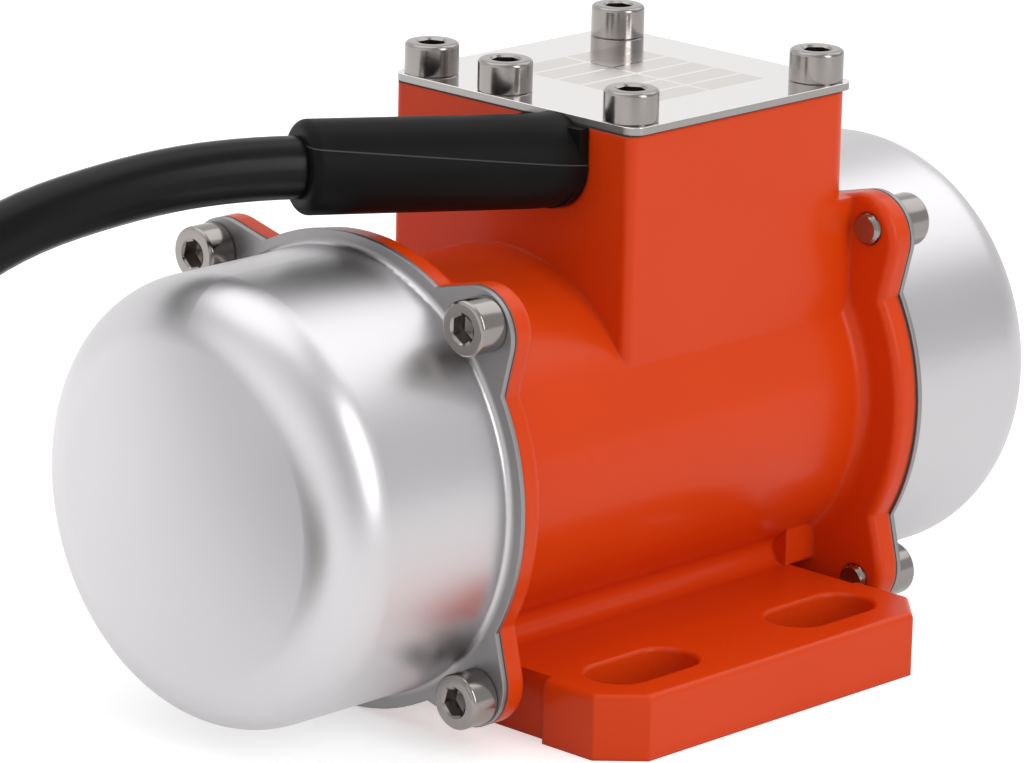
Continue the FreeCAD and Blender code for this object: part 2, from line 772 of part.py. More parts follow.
def make_housing():
    body = new_body("housing")
    housing_foot(body)
    housing_barrel(body)
    housing_rounds(body)
    housing_webs(body)
    housing_box(body)
    housing_inside(body)
    sketch = new_sketch(body, "XY_Plane", "box_top")
    cavity_outline(sketch)
    pocket(body, sketch, "box_depth")
    sketch = new_sketch(body, "XY_Plane", "box_top")
    lid_screw_places(sketch, "tapped_hole")
    pocket(body, sketch, "lid_screw_drill")
    sketch = new_sketch(body, "YZ_Plane", "-box_outside")
    notch_outline(sketch)
    pocket(body, sketch, "notch_depth", forwards=True)
    sketch = new_sketch(body, "YZ_Plane", "housing_half + 1")
    four_screw_places(sketch, "tapped_hole")
    pocket(body, sketch, "flange_drill")
    sketch = new_sketch(body, "YZ_Plane", "-housing_half - 1")
    four_screw_places(sketch, "tapped_hole")
    pocket(body, sketch, "flange_drill", forwards=True)
    housing_slots(body)
    housing_floor_holes(body)
    return body


def housing_slots(body):
    """Four slots through the foot, with a rounded rim on top."""
    sketch = new_sketch(body, "XY_Plane", "foot_top")
    for side in ("", "-"):
        for end in ("", "-"):
            slot_outline(sketch, end + "slot_half_spacing_x", side + "slot_half_spacing_y")
    pocket(body, sketch, "foot_thickness")
    foot_top = size["foot_top"]
    reach_x = size["slot_length"] / 2 + 0.1
    reach_y = size["slot_radius"] + 0.1

    def rim(edge):
        place = edge.CenterOfMass
        by_x = abs(abs(place.x) - size["slot_half_spacing_x"]) < reach_x
        by_y = abs(abs(place.y) - size["slot_half_spacing_y"]) < reach_y
        return near(place.z, foot_top) and by_x and by_y

    round_edges(body, "slot_rim_round", rim)


def slot_outline(sketch, across, up):
    """A slot along X: two straight sides and two half-round ends."""
    run = size["slot_half_run"]
    radius = size["slot_radius"]
    middle = Vector(number(across), number(up), 0)
    step = Vector(run, 0, 0)
    rise = Vector(0, radius, 0)
    low = sketch.addGeometry(Part.LineSegment(middle - step - rise, middle + step - rise), False)
    high = sketch.addGeometry(Part.LineSegment(middle + step + rise, middle - step + rise), False)
    ring = Part.Circle(middle + step, Vector(0, 0, 1), radius)
    right = sketch.addGeometry(Part.ArcOfCircle(ring, -math.pi / 2, math.pi / 2), False)
    ring = Part.Circle(middle - step, Vector(0, 0, 1), radius)
    left = sketch.addGeometry(Part.ArcOfCircle(ring, math.pi / 2, 3 * math.pi / 2), False)
    for one, end, two, start in ((low, 2, right, 1), (right, 2, high, 1), (high, 2, left, 1),
                                 (left, 2, low, 1)):
        sketch.addConstraint(Sketcher.Constraint("Tangent", one, end, two, start))
    fix(sketch, "DistanceX", right, 3, across + " + slot_half_run")
    fix(sketch, "DistanceX", left, 3, across + " - slot_half_run")
    fix(sketch, "DistanceY", right, 3, up)
    fix(sketch, "DistanceY", left, 3, up)
    fix_radius(sketch, right, "slot_radius")


def housing_floor_holes(body):
    """In the box floor: the slot for the stator leads, and holes for the small screws."""
    sketch = new_sketch(body, "XY_Plane", "box_floor")
    rectangle(sketch, "lead_x - lead_slot_half_width", "-lead_slot_half_length",
              "lead_x + lead_slot_half_width", "lead_slot_half_length", "lead_slot_half_width - 0.1")
    pocket(body, sketch, "lead_slot_depth")
    sketch = new_sketch(body, "XY_Plane", "box_floor")
    circle(sketch, "earth_x", "-earth_y", "earth_hole")
    pocket(body, sketch, "earth_screw_length")
    sketch = new_sketch(body, "XY_Plane", "box_floor")
    for side in ("", "-"):
        circle(sketch, "block_middle", side + "block_screw_y", "block_screw_hole")
    pocket(body, sketch, "block_screw_drill")


# Steel covers, gaskets and their screws
def flange_plate(body, start, thickness, rim, opening):
    """A flat plate in the flange's outline, with its opening and four screw holes."""
    sketch = new_sketch(body, "YZ_Plane", start)
    circle(sketch, "0", "0", rim)
    pad(body, sketch, thickness)
    sketch = new_sketch(body, "YZ_Plane", start)
    four_ears(sketch)
    pad(body, sketch, thickness)
    sketch = new_sketch(body, "YZ_Plane", start)
    circle(sketch, "0", "0", opening)
    four_screw_places(sketch, "screw_hole")
    pocket(body, sketch, thickness, forwards=True)


def make_cover_gasket(label, turned):
    body = new_body(label, turned)
    flange_plate(body, "housing_half", "gasket_thickness", "cast_rim_radius", "cover_inner_radius")
    return body


def make_cover(label, turned):
    """A deep-drawn cup of sheet steel with a flat flange."""
    body = new_body(label, turned)
    flange_plate(body, "cover_flange_inner", "sheet_thickness", "steel_rim_radius", "cover_opening")
    sketch = new_sketch(body, "XZ_Plane")
    outline(sketch, [
        ("cover_flange_inner", "steel_rim_radius"), ("cover_flange_outer", "steel_rim_radius"),
        ("cover_flange_outer", "cover_radius", "cover_root_round"),
        ("cover_end", "cover_radius", "cover_end_round"), ("cover_end", "0"),
        ("cover_end_inner", "0"), ("cover_end_inner", "cover_inner_radius", "cover_end_round_in"),
        ("cover_flange_inner", "cover_inner_radius", "cover_root_round_in"),
    ])
    revolve(body, sketch)
    return body


def screw_template(label, length, radius, head_radius, head_height, hexagon=True):
    """A screw along X, its head towards +X and its seat at zero, for placing copies of."""
    body = doc.addObject("PartDesign::Body", label)
    sketch = new_sketch(body, "XZ_Plane")
    outline(sketch, [
        ("-" + length, "0"), ("-" + length, radius + " - screw_tip_chamfer"),
        ("screw_tip_chamfer - " + length, radius), ("0", radius), ("0", head_radius),
        (head_height + " - screw_head_chamfer", head_radius),
        (head_height, head_radius + " - screw_head_chamfer"), (head_height, "0"),
    ])
    revolve(body, sketch)
    sketch = new_sketch(body, "YZ_Plane", head_height)
    if hexagon:
        outline(sketch, [
            ("0", "key_corner"), ("key_flat", "key_side"), ("key_flat", "-key_side"),
            ("0", "-key_corner"), ("-key_flat", "-key_side"), ("-key_flat", "key_side"),
        ])
        pocket(body, sketch, "screw_key_depth")
    else:
        rectangle(sketch, "-" + head_radius, "-small_slot_half", head_radius, "small_slot_half")
        pocket(body, sketch, "small_slot")
    return body


def copies(label, template, places, turned=False):
    """A node that holds one placed copy of a screw for each place."""
    group = doc.addObject("Part::Feature", label)
    made = []
    for place in places:
        copy = template.Shape.copy()
        copy.Placement = place
        made.append(copy)
    group.Shape = made[0] if len(made) == 1 else Part.makeCompound(made)
    turn = Rotation(Vector(0, 0, 1), 180 if turned else 0)
    group.Placement = Placement(Vector(0, 0, size["axis_height"]), turn).multiply(group.Placement)
    return group


def upright(across, up, height):
    """Where a screw stands with its head up."""
    return Placement(Vector(across, up, height), Rotation(Vector(1, 0, 0), Vector(0, 0, 1)))


def cover_screw_spots():
    offset = size["screw_offset"]
    seat = size["cover_flange_outer"]
    return [
        Placement(Vector(seat, side * offset, top * offset), Rotation())
        for side in (1, -1) for top in (1, -1)
    ]


# Terminal box lid
def make_lid_gasket():
    body = new_body("lid_gasket")
    sketch = new_sketch(body, "XY_Plane", "box_top")
    box_outline(sketch)
    pad(body, sketch, "lid_gasket_thickness")
    sketch = new_sketch(body, "XY_Plane", "lid_bottom")
    cavity_outline(sketch)
    lid_screw_places(sketch, "screw_hole")
    pocket(body, sketch, "lid_gasket_thickness")
    return body


def make_lid():
    body = new_body("terminal_lid")
    sketch = new_sketch(body, "XY_Plane", "lid_bottom")
    rectangle(sketch, "-lid_left", "-lid_half_width", "lid_right", "lid_half_width", "lid_corner")
    pad(body, sketch, "lid_thickness")
    sketch = new_sketch(body, "XY_Plane", "lid_top")
    lid_screw_places(sketch, "screw_hole")
    pocket(body, sketch, "lid_thickness")
    return body


def lid_screw_spots():
    left, right = size["lid_screw_left"], size["lid_screw_right"]
    far, top = size["lid_screw_y"], size["lid_top"]
    spots = [(left, far), (left, -far), (right, far), (right, -far), (left, size["middle_screw_y"])]
    return [upright(across, up, top) for across, up in spots]


# Cable boot and the sheath inside it
def boot_path(body, start):
    """The boot's centreline: out along the shaft, then bent aside, in a slightly tilted plane."""
    path = body.newObject("Sketcher::SketchObject", body.Name + "_path")
    path.AttachmentSupport = [(origin_feature(body, "XY_Plane"), "")]
    path.MapMode = "FlatFace"
    tilt = Rotation(Vector(1, 0, 0), size["boot_tilt"])
    path.AttachmentOffset = Placement(Vector(0, -size["boot_y"], size["sleeve_height"]), tilt)
    path.setExpression("AttachmentOffset.Base.y", "-dims.boot_y")
    path.setExpression("AttachmentOffset.Base.z", "dims.sleeve_height")
    path.setExpression("AttachmentOffset.Rotation.Angle", "dims.boot_tilt * 1 deg")
    outline(path, [
        (start, "0"), ("-boot_bend_x", "0", "boot_bend_round"), ("-boot_tip_x", "boot_side"),
    ], closed=False)
    return path


def boot_pipe(body, kind, start, radius):
    """A round tube, added or cut, along the boot's centreline from a distance along the shaft."""
    path = boot_path(body, start)
    sketch = new_sketch(body, "YZ_Plane", start)
    circle(sketch, "-boot_y", "sleeve_height", radius)
    made = feature(body, kind, sketch)
    made.Spine = (path, ["Edge1", "Edge2", "Edge3"])
    return finish(body, made, cuts=kind == "SubtractivePipe")


def make_cable_boot():
    """A moulded rubber boot: a plug in the notch of the box, a lip behind the wall, a sleeve."""
    body = new_body("cable_boot")
    sketch = new_sketch(body, "YZ_Plane", "-boot_plug_start")
    notch_outline(sketch, "boot_notch_left + seat_clearance", "boot_notch_right - seat_clearance",
                  "boot_bottom + seat_clearance", "box_top")
    pad(body, sketch, "boot_plug_length")
    sketch = new_sketch(body, "YZ_Plane", "cavity_left")
    notch_outline(sketch, "boot_notch_left + seat_clearance", "boot_notch_right + boot_lip",
                  "boot_bottom - boot_lip", "box_top")
    pad(body, sketch, "boot_lip_thickness")
    boot_pipe(body, "AdditivePipe", "-sleeve_start", "boot_radius")
    tip = Vector(-size["boot_tip_x"], size["boot_tip_y"], size["boot_tip_height"])

    def tip_rim(edge):
        round_one = isinstance(edge.Curve, Part.Circle) and near(edge.Curve.Radius, size["boot_radius"])
        return round_one and (edge.Curve.Center - tip).Length < 0.1

    round_edges(body, "boot_end_round", tip_rim)
    boot_pipe(body, "SubtractivePipe", "-sheath_end_x", "cable_bore")
    return body


def make_cable_entry():
    """The end of the cable's sheath, gripped by the boot."""
    body = new_body("cable_entry")
    boot_pipe(body, "AdditivePipe", "-sheath_end_x", "cable_radius")
    return body


# Bearings and their brackets
def make_bracket(label, turned, seat_start):
    """A turned disc that centres a bearing in the bore, with a lip behind the outer race."""
    body = new_body(label, turned)
    lip_face = "bearing_start - bracket_lip"
    sketch = new_sketch(body, "XZ_Plane")
    outline(sketch, [
        (lip_face, "bracket_lip_radius"), (lip_face, "bracket_hub_outer"),
        ("bracket_web_start", "bracket_hub_outer"), ("bracket_web_start", "bracket_rim_inner"),
        ("bearing_start", "bracket_rim_inner"), ("bearing_start", "bracket_seat"),
        ("bearing_end", "bracket_seat"), ("bearing_end", "bracket_rim_inner"),
        ("bracket_web_end", "bracket_rim_inner"), ("bracket_web_end", "bracket_hub_outer"),
        ("bearing_end", "bracket_hub_outer"), ("bearing_end", "bearing_seat"),
        (seat_start, "bearing_seat"), (seat_start, "bracket_lip_radius"),
    ])
    revolve(body, sketch)
    return body


def make_ring(label, turned, corners, angle=360):
    """A ring turned from a profile. Retaining rings are left open by a small angle."""
    body = new_body(label, turned)
    sketch = new_sketch(body, "XZ_Plane")
    outline(sketch, corners)
    revolve(body, sketch, angle=angle)
    return body


def box_profile(start, inner, end, outer):
    return [(start, inner), (end, inner), (end, outer), (start, outer)]


def make_race(label, turned, inner, outer):
    """A bearing race with its ball groove."""
    body = new_body(label, turned)
    sketch = new_sketch(body, "XZ_Plane")
    outline(sketch, box_profile("bearing_start", inner, "bearing_end", outer))
    revolve(body, sketch)
    sketch = new_sketch(body, "XZ_Plane")
    circle(sketch, "bearing_middle", "pitch_radius", "groove_radius")
    revolve(body, sketch, "Groove")
    return body


def make_balls(label, turned):
    """The balls of one bearing, evenly spaced on the pitch circle."""
    spots = []
    for i in range(BALLS):
        turn = Rotation(Vector(1, 0, 0), 360 / BALLS * i)
        spots.append(Placement(turn.multVec(Vector(0, 0, size["pitch_radius"])), turn))
    middle = Vector(size["bearing_middle"], 0, 0)
    for spot in spots:
        spot.Base = spot.Base + middle
    return copies(label, ball, spots, turned)


def make_ball_cage(label, turned):
    """The ring between the races, with a pocket for each ball."""
    body = new_body(label, turned)
    sketch = new_sketch(body, "XZ_Plane")
    outline(sketch, box_profile("bearing_middle - cage_half_width", "pitch_radius - cage_half_wall",
                                "bearing_middle + cage_half_width", "pitch_radius + cage_half_wall"))
    revolve(body, sketch)
    sketch = new_sketch(body, "XY_Plane", "shoulder_radius")
    circle(sketch, "bearing_middle", "0", "groove_radius")
    hole = pocket(body, sketch, "bearing_bore")
    repeat_round(body, hole, BALLS, cuts=True)
    return body


# Stator
def slot_corners(inner_half, outer_half, inner, outer):
    return [("-" + inner_half, inner), (inner_half, inner), (outer_half, outer), ("-" + outer_half, outer)]


def make_stator_core():
    """The ring of laminations, with a slot open to the bore between each two teeth."""
    body = new_body("stator_core")
    sketch = new_sketch(body, "YZ_Plane", "-stator_half")
    circle(sketch, "0", "0", "stator_radius")
    circle(sketch, "0", "0", "stator_bore")
    pad(body, sketch, "stator_length")
    sketch = new_sketch(body, "YZ_Plane", "-stator_half")
    outline(sketch, [
        ("-mouth_half", "rotor_radius"), ("mouth_half", "rotor_radius"), ("mouth_half", "slot_inner"),
        ("slot_inner_half", "slot_inner"), ("slot_outer_half", "slot_outer"),
        ("-slot_outer_half", "slot_outer"), ("-slot_inner_half", "slot_inner"),
        ("-mouth_half", "slot_inner"),
    ])
    slot = pocket(body, sketch, "stator_length", forwards=True)
    repeat_round(body, slot, STATOR_SLOTS, cuts=True)
    return body


def winding_head(body, side):
    """The varnished ring of end turns outside the core."""
    sketch = new_sketch(body, "XZ_Plane")
    outline(sketch, [
        (side + "winding_start", "slot_inner"), (side + "winding_end", "slot_inner", "winding_round"),
        (side + "winding_end", "winding_outer", "winding_round"), (side + "winding_start", "winding_outer"),
    ])
    revolve(body, sketch)


def make_stator_winding():
    """The coil sides in the slots and the end turns that join them."""
    body = new_body("stator_winding")
    winding_head(body, "")
    sketch = new_sketch(body, "YZ_Plane", "-coil_bar_start")
    outline(sketch, slot_corners("coil_inner_half", "coil_outer_half", "coil_inner", "coil_outer"))
    bar = pad(body, sketch, "coil_bar_length")
    repeat_round(body, bar, STATOR_SLOTS)
    winding_head(body, "-")
    return body


# Rotor and shaft
def make_shaft():
    """The stepped shaft, with ring grooves and a keyway near each end."""
    body = new_body("shaft")
    half = [
        ("shaft_end", "bearing_bore - shaft_chamfer"), ("shaft_end - shaft_chamfer", "bearing_bore"),
        ("shaft_ring_end", "bearing_bore"), ("shaft_ring_end", "shaft_ring_inner"),
        ("shaft_ring_start", "shaft_ring_inner"), ("shaft_ring_start", "bearing_bore"),
        ("bearing_start", "bearing_bore"), ("bearing_start", "shaft_middle_radius"),
    ]
    other = [(mirrored(across), up) for across, up in reversed(half)]
    sketch = new_sketch(body, "XZ_Plane")
    outline(sketch, [("-shaft_end", "0"), ("shaft_end", "0")] + half + other)
    revolve(body, sketch)
    for side in ("", "-"):
        sketch = new_sketch(body, "XY_Plane", "keyway_top")
        rectangle(sketch, side + "key_start", "-key_half", side + "key_end", "key_half")
        pocket(body, sketch, "keyway_depth")
    return body


def mirrored(formula):
    """The sum with the sign of every word changed."""
    flipped = [{"+": "-", "-": "+"}.get(word, word) for word in words(formula)]
    if flipped[0] == "+":
        return " ".join(flipped[1:])
    return "- " + " ".join(flipped)


def make_rotor_core():
    """The rotor's laminations, pierced for the bars of the squirrel cage."""
    body = new_body("rotor_core")
    sketch = new_sketch(body, "YZ_Plane", "-stator_half")
    circle(sketch, "0", "0", "rotor_radius")
    circle(sketch, "0", "0", "rotor_bore")
    pad(body, sketch, "stator_length")
    sketch = new_sketch(body, "YZ_Plane", "-stator_half")
    circle(sketch, "0", "bar_pitch", "bar_hole")
    hole = pocket(body, sketch, "stator_length", forwards=True)
    repeat_round(body, hole, ROTOR_BARS, cuts=True)
    return body


def make_rotor_cage():
    """The squirrel cage: bars through the core between two end rings."""
    body = new_body("rotor_cage")
    for side in ("", "-"):
        sketch = new_sketch(body, "XZ_Plane")
        outline(sketch, box_profile(side + "stator_half", "cage_ring_inner",
                                    side + "cage_ring_end", "cage_ring_outer"))
        revolve(body, sketch)
        if side == "":
            sketch = new_sketch(body, "YZ_Plane", "-cage_bar_start")
            circle(sketch, "0", "bar_pitch", "bar_radius")
            bar = pad(body, sketch, "cage_bar_length")
            repeat_round(body, bar, ROTOR_BARS)
    return body


# Eccentric weights
def half_disc(body, start, thickness):
    """The heavy half, below the shaft at rest, and the round hub."""
    sketch = new_sketch(body, "YZ_Plane", start)
    circle(sketch, "0", "0", "weight_radius")
    pad(body, sketch, thickness)
    sketch = new_sketch(body, "YZ_Plane", start)
    rectangle(sketch, "-weight_radius - 1", "0", "weight_radius + 1", "weight_radius + 1")
    pocket(body, sketch, thickness, forwards=True)
    rim = size["weight_radius"]

    def outer_rim(edge):
        round_one = isinstance(edge.Curve, Part.Circle) and near(edge.Curve.Radius, rim)
        return round_one and edge.Length > rim

    round_edges(body, "weight_chamfer", outer_rim, "Chamfer")
    sketch = new_sketch(body, "YZ_Plane", start)
    circle(sketch, "0", "0", "weight_hub")
    pad(body, sketch, thickness)


def make_fixed_weight(label, turned):
    """The weight that is keyed to the shaft."""
    body = new_body(label, turned)
    half_disc(body, "fixed_weight_start", "fixed_weight_thickness")
    sketch = new_sketch(body, "YZ_Plane", "fixed_weight_start")
    circle(sketch, "0", "0", "race_bore")
    pocket(body, sketch, "fixed_weight_thickness", forwards=True)
    sketch = new_sketch(body, "YZ_Plane", "fixed_weight_start")
    rectangle(sketch, "-key_slot_half", "0", "key_slot_half", "key_slot_top")
    pocket(body, sketch, "fixed_weight_thickness", forwards=True)
    return body


def make_key(label, turned):
    body = new_body(label, turned)
    sketch = new_sketch(body, "XY_Plane", "key_bottom")
    rectangle(sketch, "key_start", "-key_half", "key_end", "key_half")
    pad(body, sketch, "key_height")
    return body


def make_adjustable_weight(label, turned):
    """The weight that a clamp screw holds on the shaft, to be set against the fixed one."""
    body = new_body(label, turned)
    half_disc(body, "weight_start", "weight_thickness")
    sketch = new_sketch(body, "YZ_Plane", "weight_start")
    rectangle(sketch, "-clamp_block_half", "0", "clamp_block_half", "clamp_block_top")
    pad(body, sketch, "weight_thickness")
    sketch = new_sketch(body, "YZ_Plane", "weight_start")
    circle(sketch, "0", "0", "weight_bore")
    pocket(body, sketch, "weight_thickness", forwards=True)
    sketch = new_sketch(body, "YZ_Plane", "weight_start")
    rectangle(sketch, "-clamp_slit_half", "0", "clamp_slit_half", "clamp_block_top + 1")
    pocket(body, sketch, "weight_thickness", forwards=True)
    sketch = new_sketch(body, "XZ_Plane", "clamp_hole_start")
    circle(sketch, "weight_middle", "clamp_screw_height", "clamp_hole")
    pocket(body, sketch, "clamp_hole_depth")
    return body


def clamp_screw_spot():
    seat = Vector(size["weight_middle"], -size["clamp_block_half"], size["clamp_screw_height"])
    return [Placement(seat, Rotation(Vector(1, 0, 0), Vector(0, -1, 0)))]


# Terminals and wires
def pole_places():
    return ("pole_spacing", "0", "-pole_spacing")


def make_terminal_block():
    """A three-pole block: a wire hole through each pole and two clamp screws over it."""
    body = new_body("terminal_block")
    sketch = new_sketch(body, "XY_Plane", "box_floor")
    rectangle(sketch, "block_start", "-block_half_width", "block_end", "block_half_width")
    pad(body, sketch, "block_height")
    sketch = new_sketch(body, "YZ_Plane", "block_start - 1")
    for up in pole_places():
        circle(sketch, up, "pole_level", "pole_radius")
    pocket(body, sketch, "block_through", forwards=True)
    sketch = new_sketch(body, "XY_Plane", "block_top")
    for across in ("block_start + pole_screw_inset", "block_end - pole_screw_inset"):
        for up in pole_places():
            circle(sketch, across, up, "pole_screw_hole")
    pocket(body, sketch, "pole_screw_depth")
    sketch = new_sketch(body, "XY_Plane", "block_top")
    for side in ("", "-"):
        circle(sketch, "block_middle", side + "block_screw_y", "block_screw_hole")
    pocket(body, sketch, "block_height")
    return body


def pole_screw_spots():
    rows = (size["block_start"] + size["pole_screw_inset"], size["block_end"] - size["pole_screw_inset"])
    return [upright(row, number(up), size["block_top"]) for row in rows for up in pole_places()]


def block_screw_spots():
    return [upright(size["block_middle"], side * size["block_screw_y"], size["block_top"])
            for side in (1, -1)]


def make_earth_lug():
    """A ring terminal on the box floor, with a barrel for the earth core."""
    body = new_body("earth_lug")
    sketch = new_sketch(body, "XY_Plane", "box_floor")
    circle(sketch, "earth_x", "-earth_y", "lug_ring")
    pad(body, sketch, "lug_thickness")
    sketch = new_sketch(body, "XY_Plane", "box_floor")
    rectangle(sketch, "earth_x - lug_ring - lug_tail", "-earth_y - lug_barrel",
              "earth_x", "lug_barrel - earth_y")
    pad(body, sketch, "lug_thickness")
    sketch = new_sketch(body, "YZ_Plane", "earth_x - lug_ring - lug_tail - lug_tail")
    circle(sketch, "-earth_y", "lug_level", "lug_barrel")
    pad(body, sketch, "lug_ring")
    sketch = new_sketch(body, "YZ_Plane", "earth_x - lug_ring - lug_tail - lug_tail - 1")
    circle(sketch, "-earth_y", "lug_level", "lug_bore")
    pocket(body, sketch, "lug_ring + 1", forwards=True)
    sketch = new_sketch(body, "XY_Plane", "lug_level")
    circle(sketch, "earth_x", "-earth_y", "earth_hole")
    pocket(body, sketch, "lug_barrel")
    return body


def rounded_wire(points, radius=None):
    """Straight runs joined by tangent arcs. Without a radius each arc takes what its runs allow."""
    edges = []
    radii = []
    start = points[0]
    for before, corner, after in zip(points, points[1:], points[2:]):
        back = before - corner
        on = after - corner
        half_turn = (math.pi - back.getAngle(on)) / 2
        shorter = min(back.Length, on.Length)
        bend = radius or 0.45 * shorter / math.tan(half_turn)
        reach = bend * math.tan(half_turn)
        back.normalize()
        on.normalize()
        first = corner + back * reach
        last = corner + on * reach
        inward = (back + on).normalize()
        crown = corner + inward * (bend / math.cos(half_turn) - bend)
        edges.append(Part.LineSegment(start, first).toShape())
        edges.append(Part.Arc(first, crown, last).toShape())
        start = last
        radii.append(round(bend, 1))
    edges.append(Part.LineSegment(start, points[-1]).toShape())
    return Part.Wire(edges), radii


def tube(points, radius, bend=None):
    """A round solid along the points, checked against its section times its length."""
    wire, radii = rounded_wire(points, bend)
    direction = points[1] - points[0]
    section = Part.Wire(Part.Circle(points[0], direction, radius).toShape())
    solid = wire.makePipeShell([section], True, False)
    right = math.pi * radius ** 2 * wire.Length
    if not solid.isValid() or abs(solid.Volume / right - 1) > 0.01:
        raise RuntimeError(f"a tube of {solid.Volume:.1f} should be {right:.1f} cubic millimetres")
    return solid, wire.Length, radii


def lifted(label, shapes):
    """A node of shapes that are drawn about the shaft."""
    group = doc.addObject("Part::Feature", label)
    group.Shape = Part.makeCompound(shapes)
    group.Placement = Placement(Vector(0, 0, size["axis_height"]), Rotation())
    return group


def make_stator_leads():
    """The three leads that rise from the winding, through the floor slot, into the block."""
    leads = []
    for up in pole_places():
        across = number(up)
        near_side = max(abs(across) - size["core_radius"], 0)
        foot = math.sqrt(size["winding_outer"] ** 2 - near_side ** 2) + size["seat_clearance"]
        inside = size["block_end"] - size["pole_screw_inset"] - size["core_radius"]
        points = [
            Vector(size["lead_x"], across, foot),
            Vector(size["lead_x"], across, size["pole_level"]),
            Vector(inside, across, size["pole_level"]),
        ]
        leads.append(tube(points, size["core_radius"], size["wire_bend"])[0])
    return lifted("stator_leads", leads)


def make_cable_cores():
    """The cable's cores inside the box: three to the poles, and the earth core to its lug."""
    spread = size["core_spread"]
    pole = size["pole_spacing"]
    inside = size["block_start"] + size["pole_screw_inset"] + size["core_radius"]
    lug_inside = size["earth_x"] - size["lug_ring"] - size["lug_tail"]
    near_turn = size["core_turn_near"]
    far_turn = size["block_start"] - size["core_turn_far"]
    earth_turn = -size["core_turn_earth"]
    ends = [
        (spread, spread, far_turn, Vector(inside, pole, size["pole_level"])),
        (spread, -spread, near_turn, Vector(inside, 0, size["pole_level"])),
        (-spread, spread, far_turn, Vector(inside, -pole, size["pole_level"])),
        (-spread, -spread, earth_turn, Vector(lug_inside, -size["earth_y"], size["lug_level"])),
    ]
    cores = []
    for across, up, turn, end in ends:
        start = Vector(-size["sheath_end_x"], across - size["boot_y"], up + size["sleeve_height"])
        points = [start, Vector(turn, start.y, start.z), Vector(turn, end.y, end.z), end]
        bend = size["wire_bend"] if turn > 0 else size["core_radius"] * 1.2
        cores.append(tube(points, size["core_radius"], bend)[0])
    return lifted("cable_cores", cores)


# The free cable, in the upright plane of the boot's end: for each point, its share of the reach
# along the ground and its share of the height from the ground up to the boot
CABLE_ROUTE = [
    (0, 1), (0.069, 1.0064), (0.1793, 0.9871), (0.3172, 0.9228), (0.4241, 0.7876), (0.5138, 0.5882),
    (0.5897, 0.3629), (0.669, 0.1892), (0.7793, 0.0592), (0.9069, 0), (1, 0),
]


def boot_heading():
    """The level direction in which the boot points."""
    side = size["boot_tip_y"] + size["boot_y"]
    return Vector(size["boot_bend_x"] - size["boot_tip_x"], side, 0).normalize()


def route_points():
    heading = boot_heading()
    lying = size["coil_lift"] + size["cable_radius"]
    start = Vector(-size["boot_tip_x"], size["boot_tip_y"], lying)
    rise = size["axis_height"] + size["boot_tip_height"] - lying
    reach = size["cable_reach"]
    return [start + heading * reach * along + Vector(0, 0, rise * up) for along, up in CABLE_ROUTE]


def coil_centre():
    """The coil lies to the side of the cable's last run, which meets its outer turns."""
    heading = boot_heading()
    aside = Vector(-heading.y, heading.x, 0)
    end = route_points()[-1]
    return Vector(end.x, end.y, 0) + aside * size["coil_outer_track"]


def make_power_cable():
    solid, length, radii = tube(route_points(), size["cable_radius"])
    print("cable to the coil:", round(length, 1), "bends:", radii)
    cable = doc.addObject("Part::Feature", "power_cable")
    cable.Shape = solid
    return cable


def coil_body(label):
    """A body drawn about the upright middle of the coil."""
    body = doc.addObject("PartDesign::Body", label)
    body.Placement = Placement(coil_centre(), Rotation())
    return body


def make_cable_coil():
    """The put-away length, two turns wide and two high, as one plain ring."""
    body = coil_body("cable_coil")
    sketch = new_sketch(body, "XZ_Plane")
    rectangle(sketch, "coil_inside", "coil_lift", "coil_outside", "coil_top", "coil_round")
    made = feature(body, "Revolution", sketch)
    made.ReferenceAxis = (sketch, ["V_Axis"])
    made.Angle = 360
    finish(body, made)
    return body


def tie_loop(body, side):
    """A strap round the coil where it crosses the X direction of the coil."""
    sketch = new_sketch(body, "XZ_Plane", "-tie_width + tie_half")
    rectangle(sketch, side + "tie_inner", "0", side + "tie_outer", "tie_top")
    pad(body, sketch, "tie_width")
    sketch = new_sketch(body, "XZ_Plane", "-tie_width + tie_half")
    inside = ("coil_inside - tie_clearance", "coil_outside + tie_clearance")
    if side:
        inside = ("tie_clearance - coil_inside", "-coil_outside - tie_clearance")
    rectangle(sketch, inside[0], "coil_lift", inside[1], "coil_top")
    pocket(body, sketch, "tie_width", forwards=True)


def make_cable_tie(label, side):
    body = coil_body(label)
    tie_loop(body, side)
    return body


def make_core_ends():
    """The far end of the cable: a short straight of sheath, and its four bare-ended cores."""
    centre = coil_centre()
    radius = size["cable_radius"]
    level = size["coil_lift"] + 3 * radius
    turn = Rotation(Vector(0, 0, 1), TAIL_TURN)
    start = centre + turn.multVec(Vector(size["coil_outer_track"], 0, level))
    on = turn.multVec(Vector(0, 1, 0))
    sheath = Part.makeCylinder(radius, size["tail_sheath"], start, on)
    cores = []
    for across in (-1, 1):
        for up in (-1, 1):
            offset = turn.multVec(Vector(across, 0, up)) * size["core_spread"]
            foot = start + on * size["tail_sheath"] + offset
            cores.append(Part.makeCylinder(size["core_radius"], size["tail_cores"], foot, on))
    tail = doc.addObject("Part::Feature", "core_ends")
    tail.Shape = Part.makeCompound([sheath] + cores)
    return tail


BALLS = 7
STATOR_SLOTS = 12
ROTOR_BARS = 16
OPEN_RING = 330
TAIL_TURN = -50

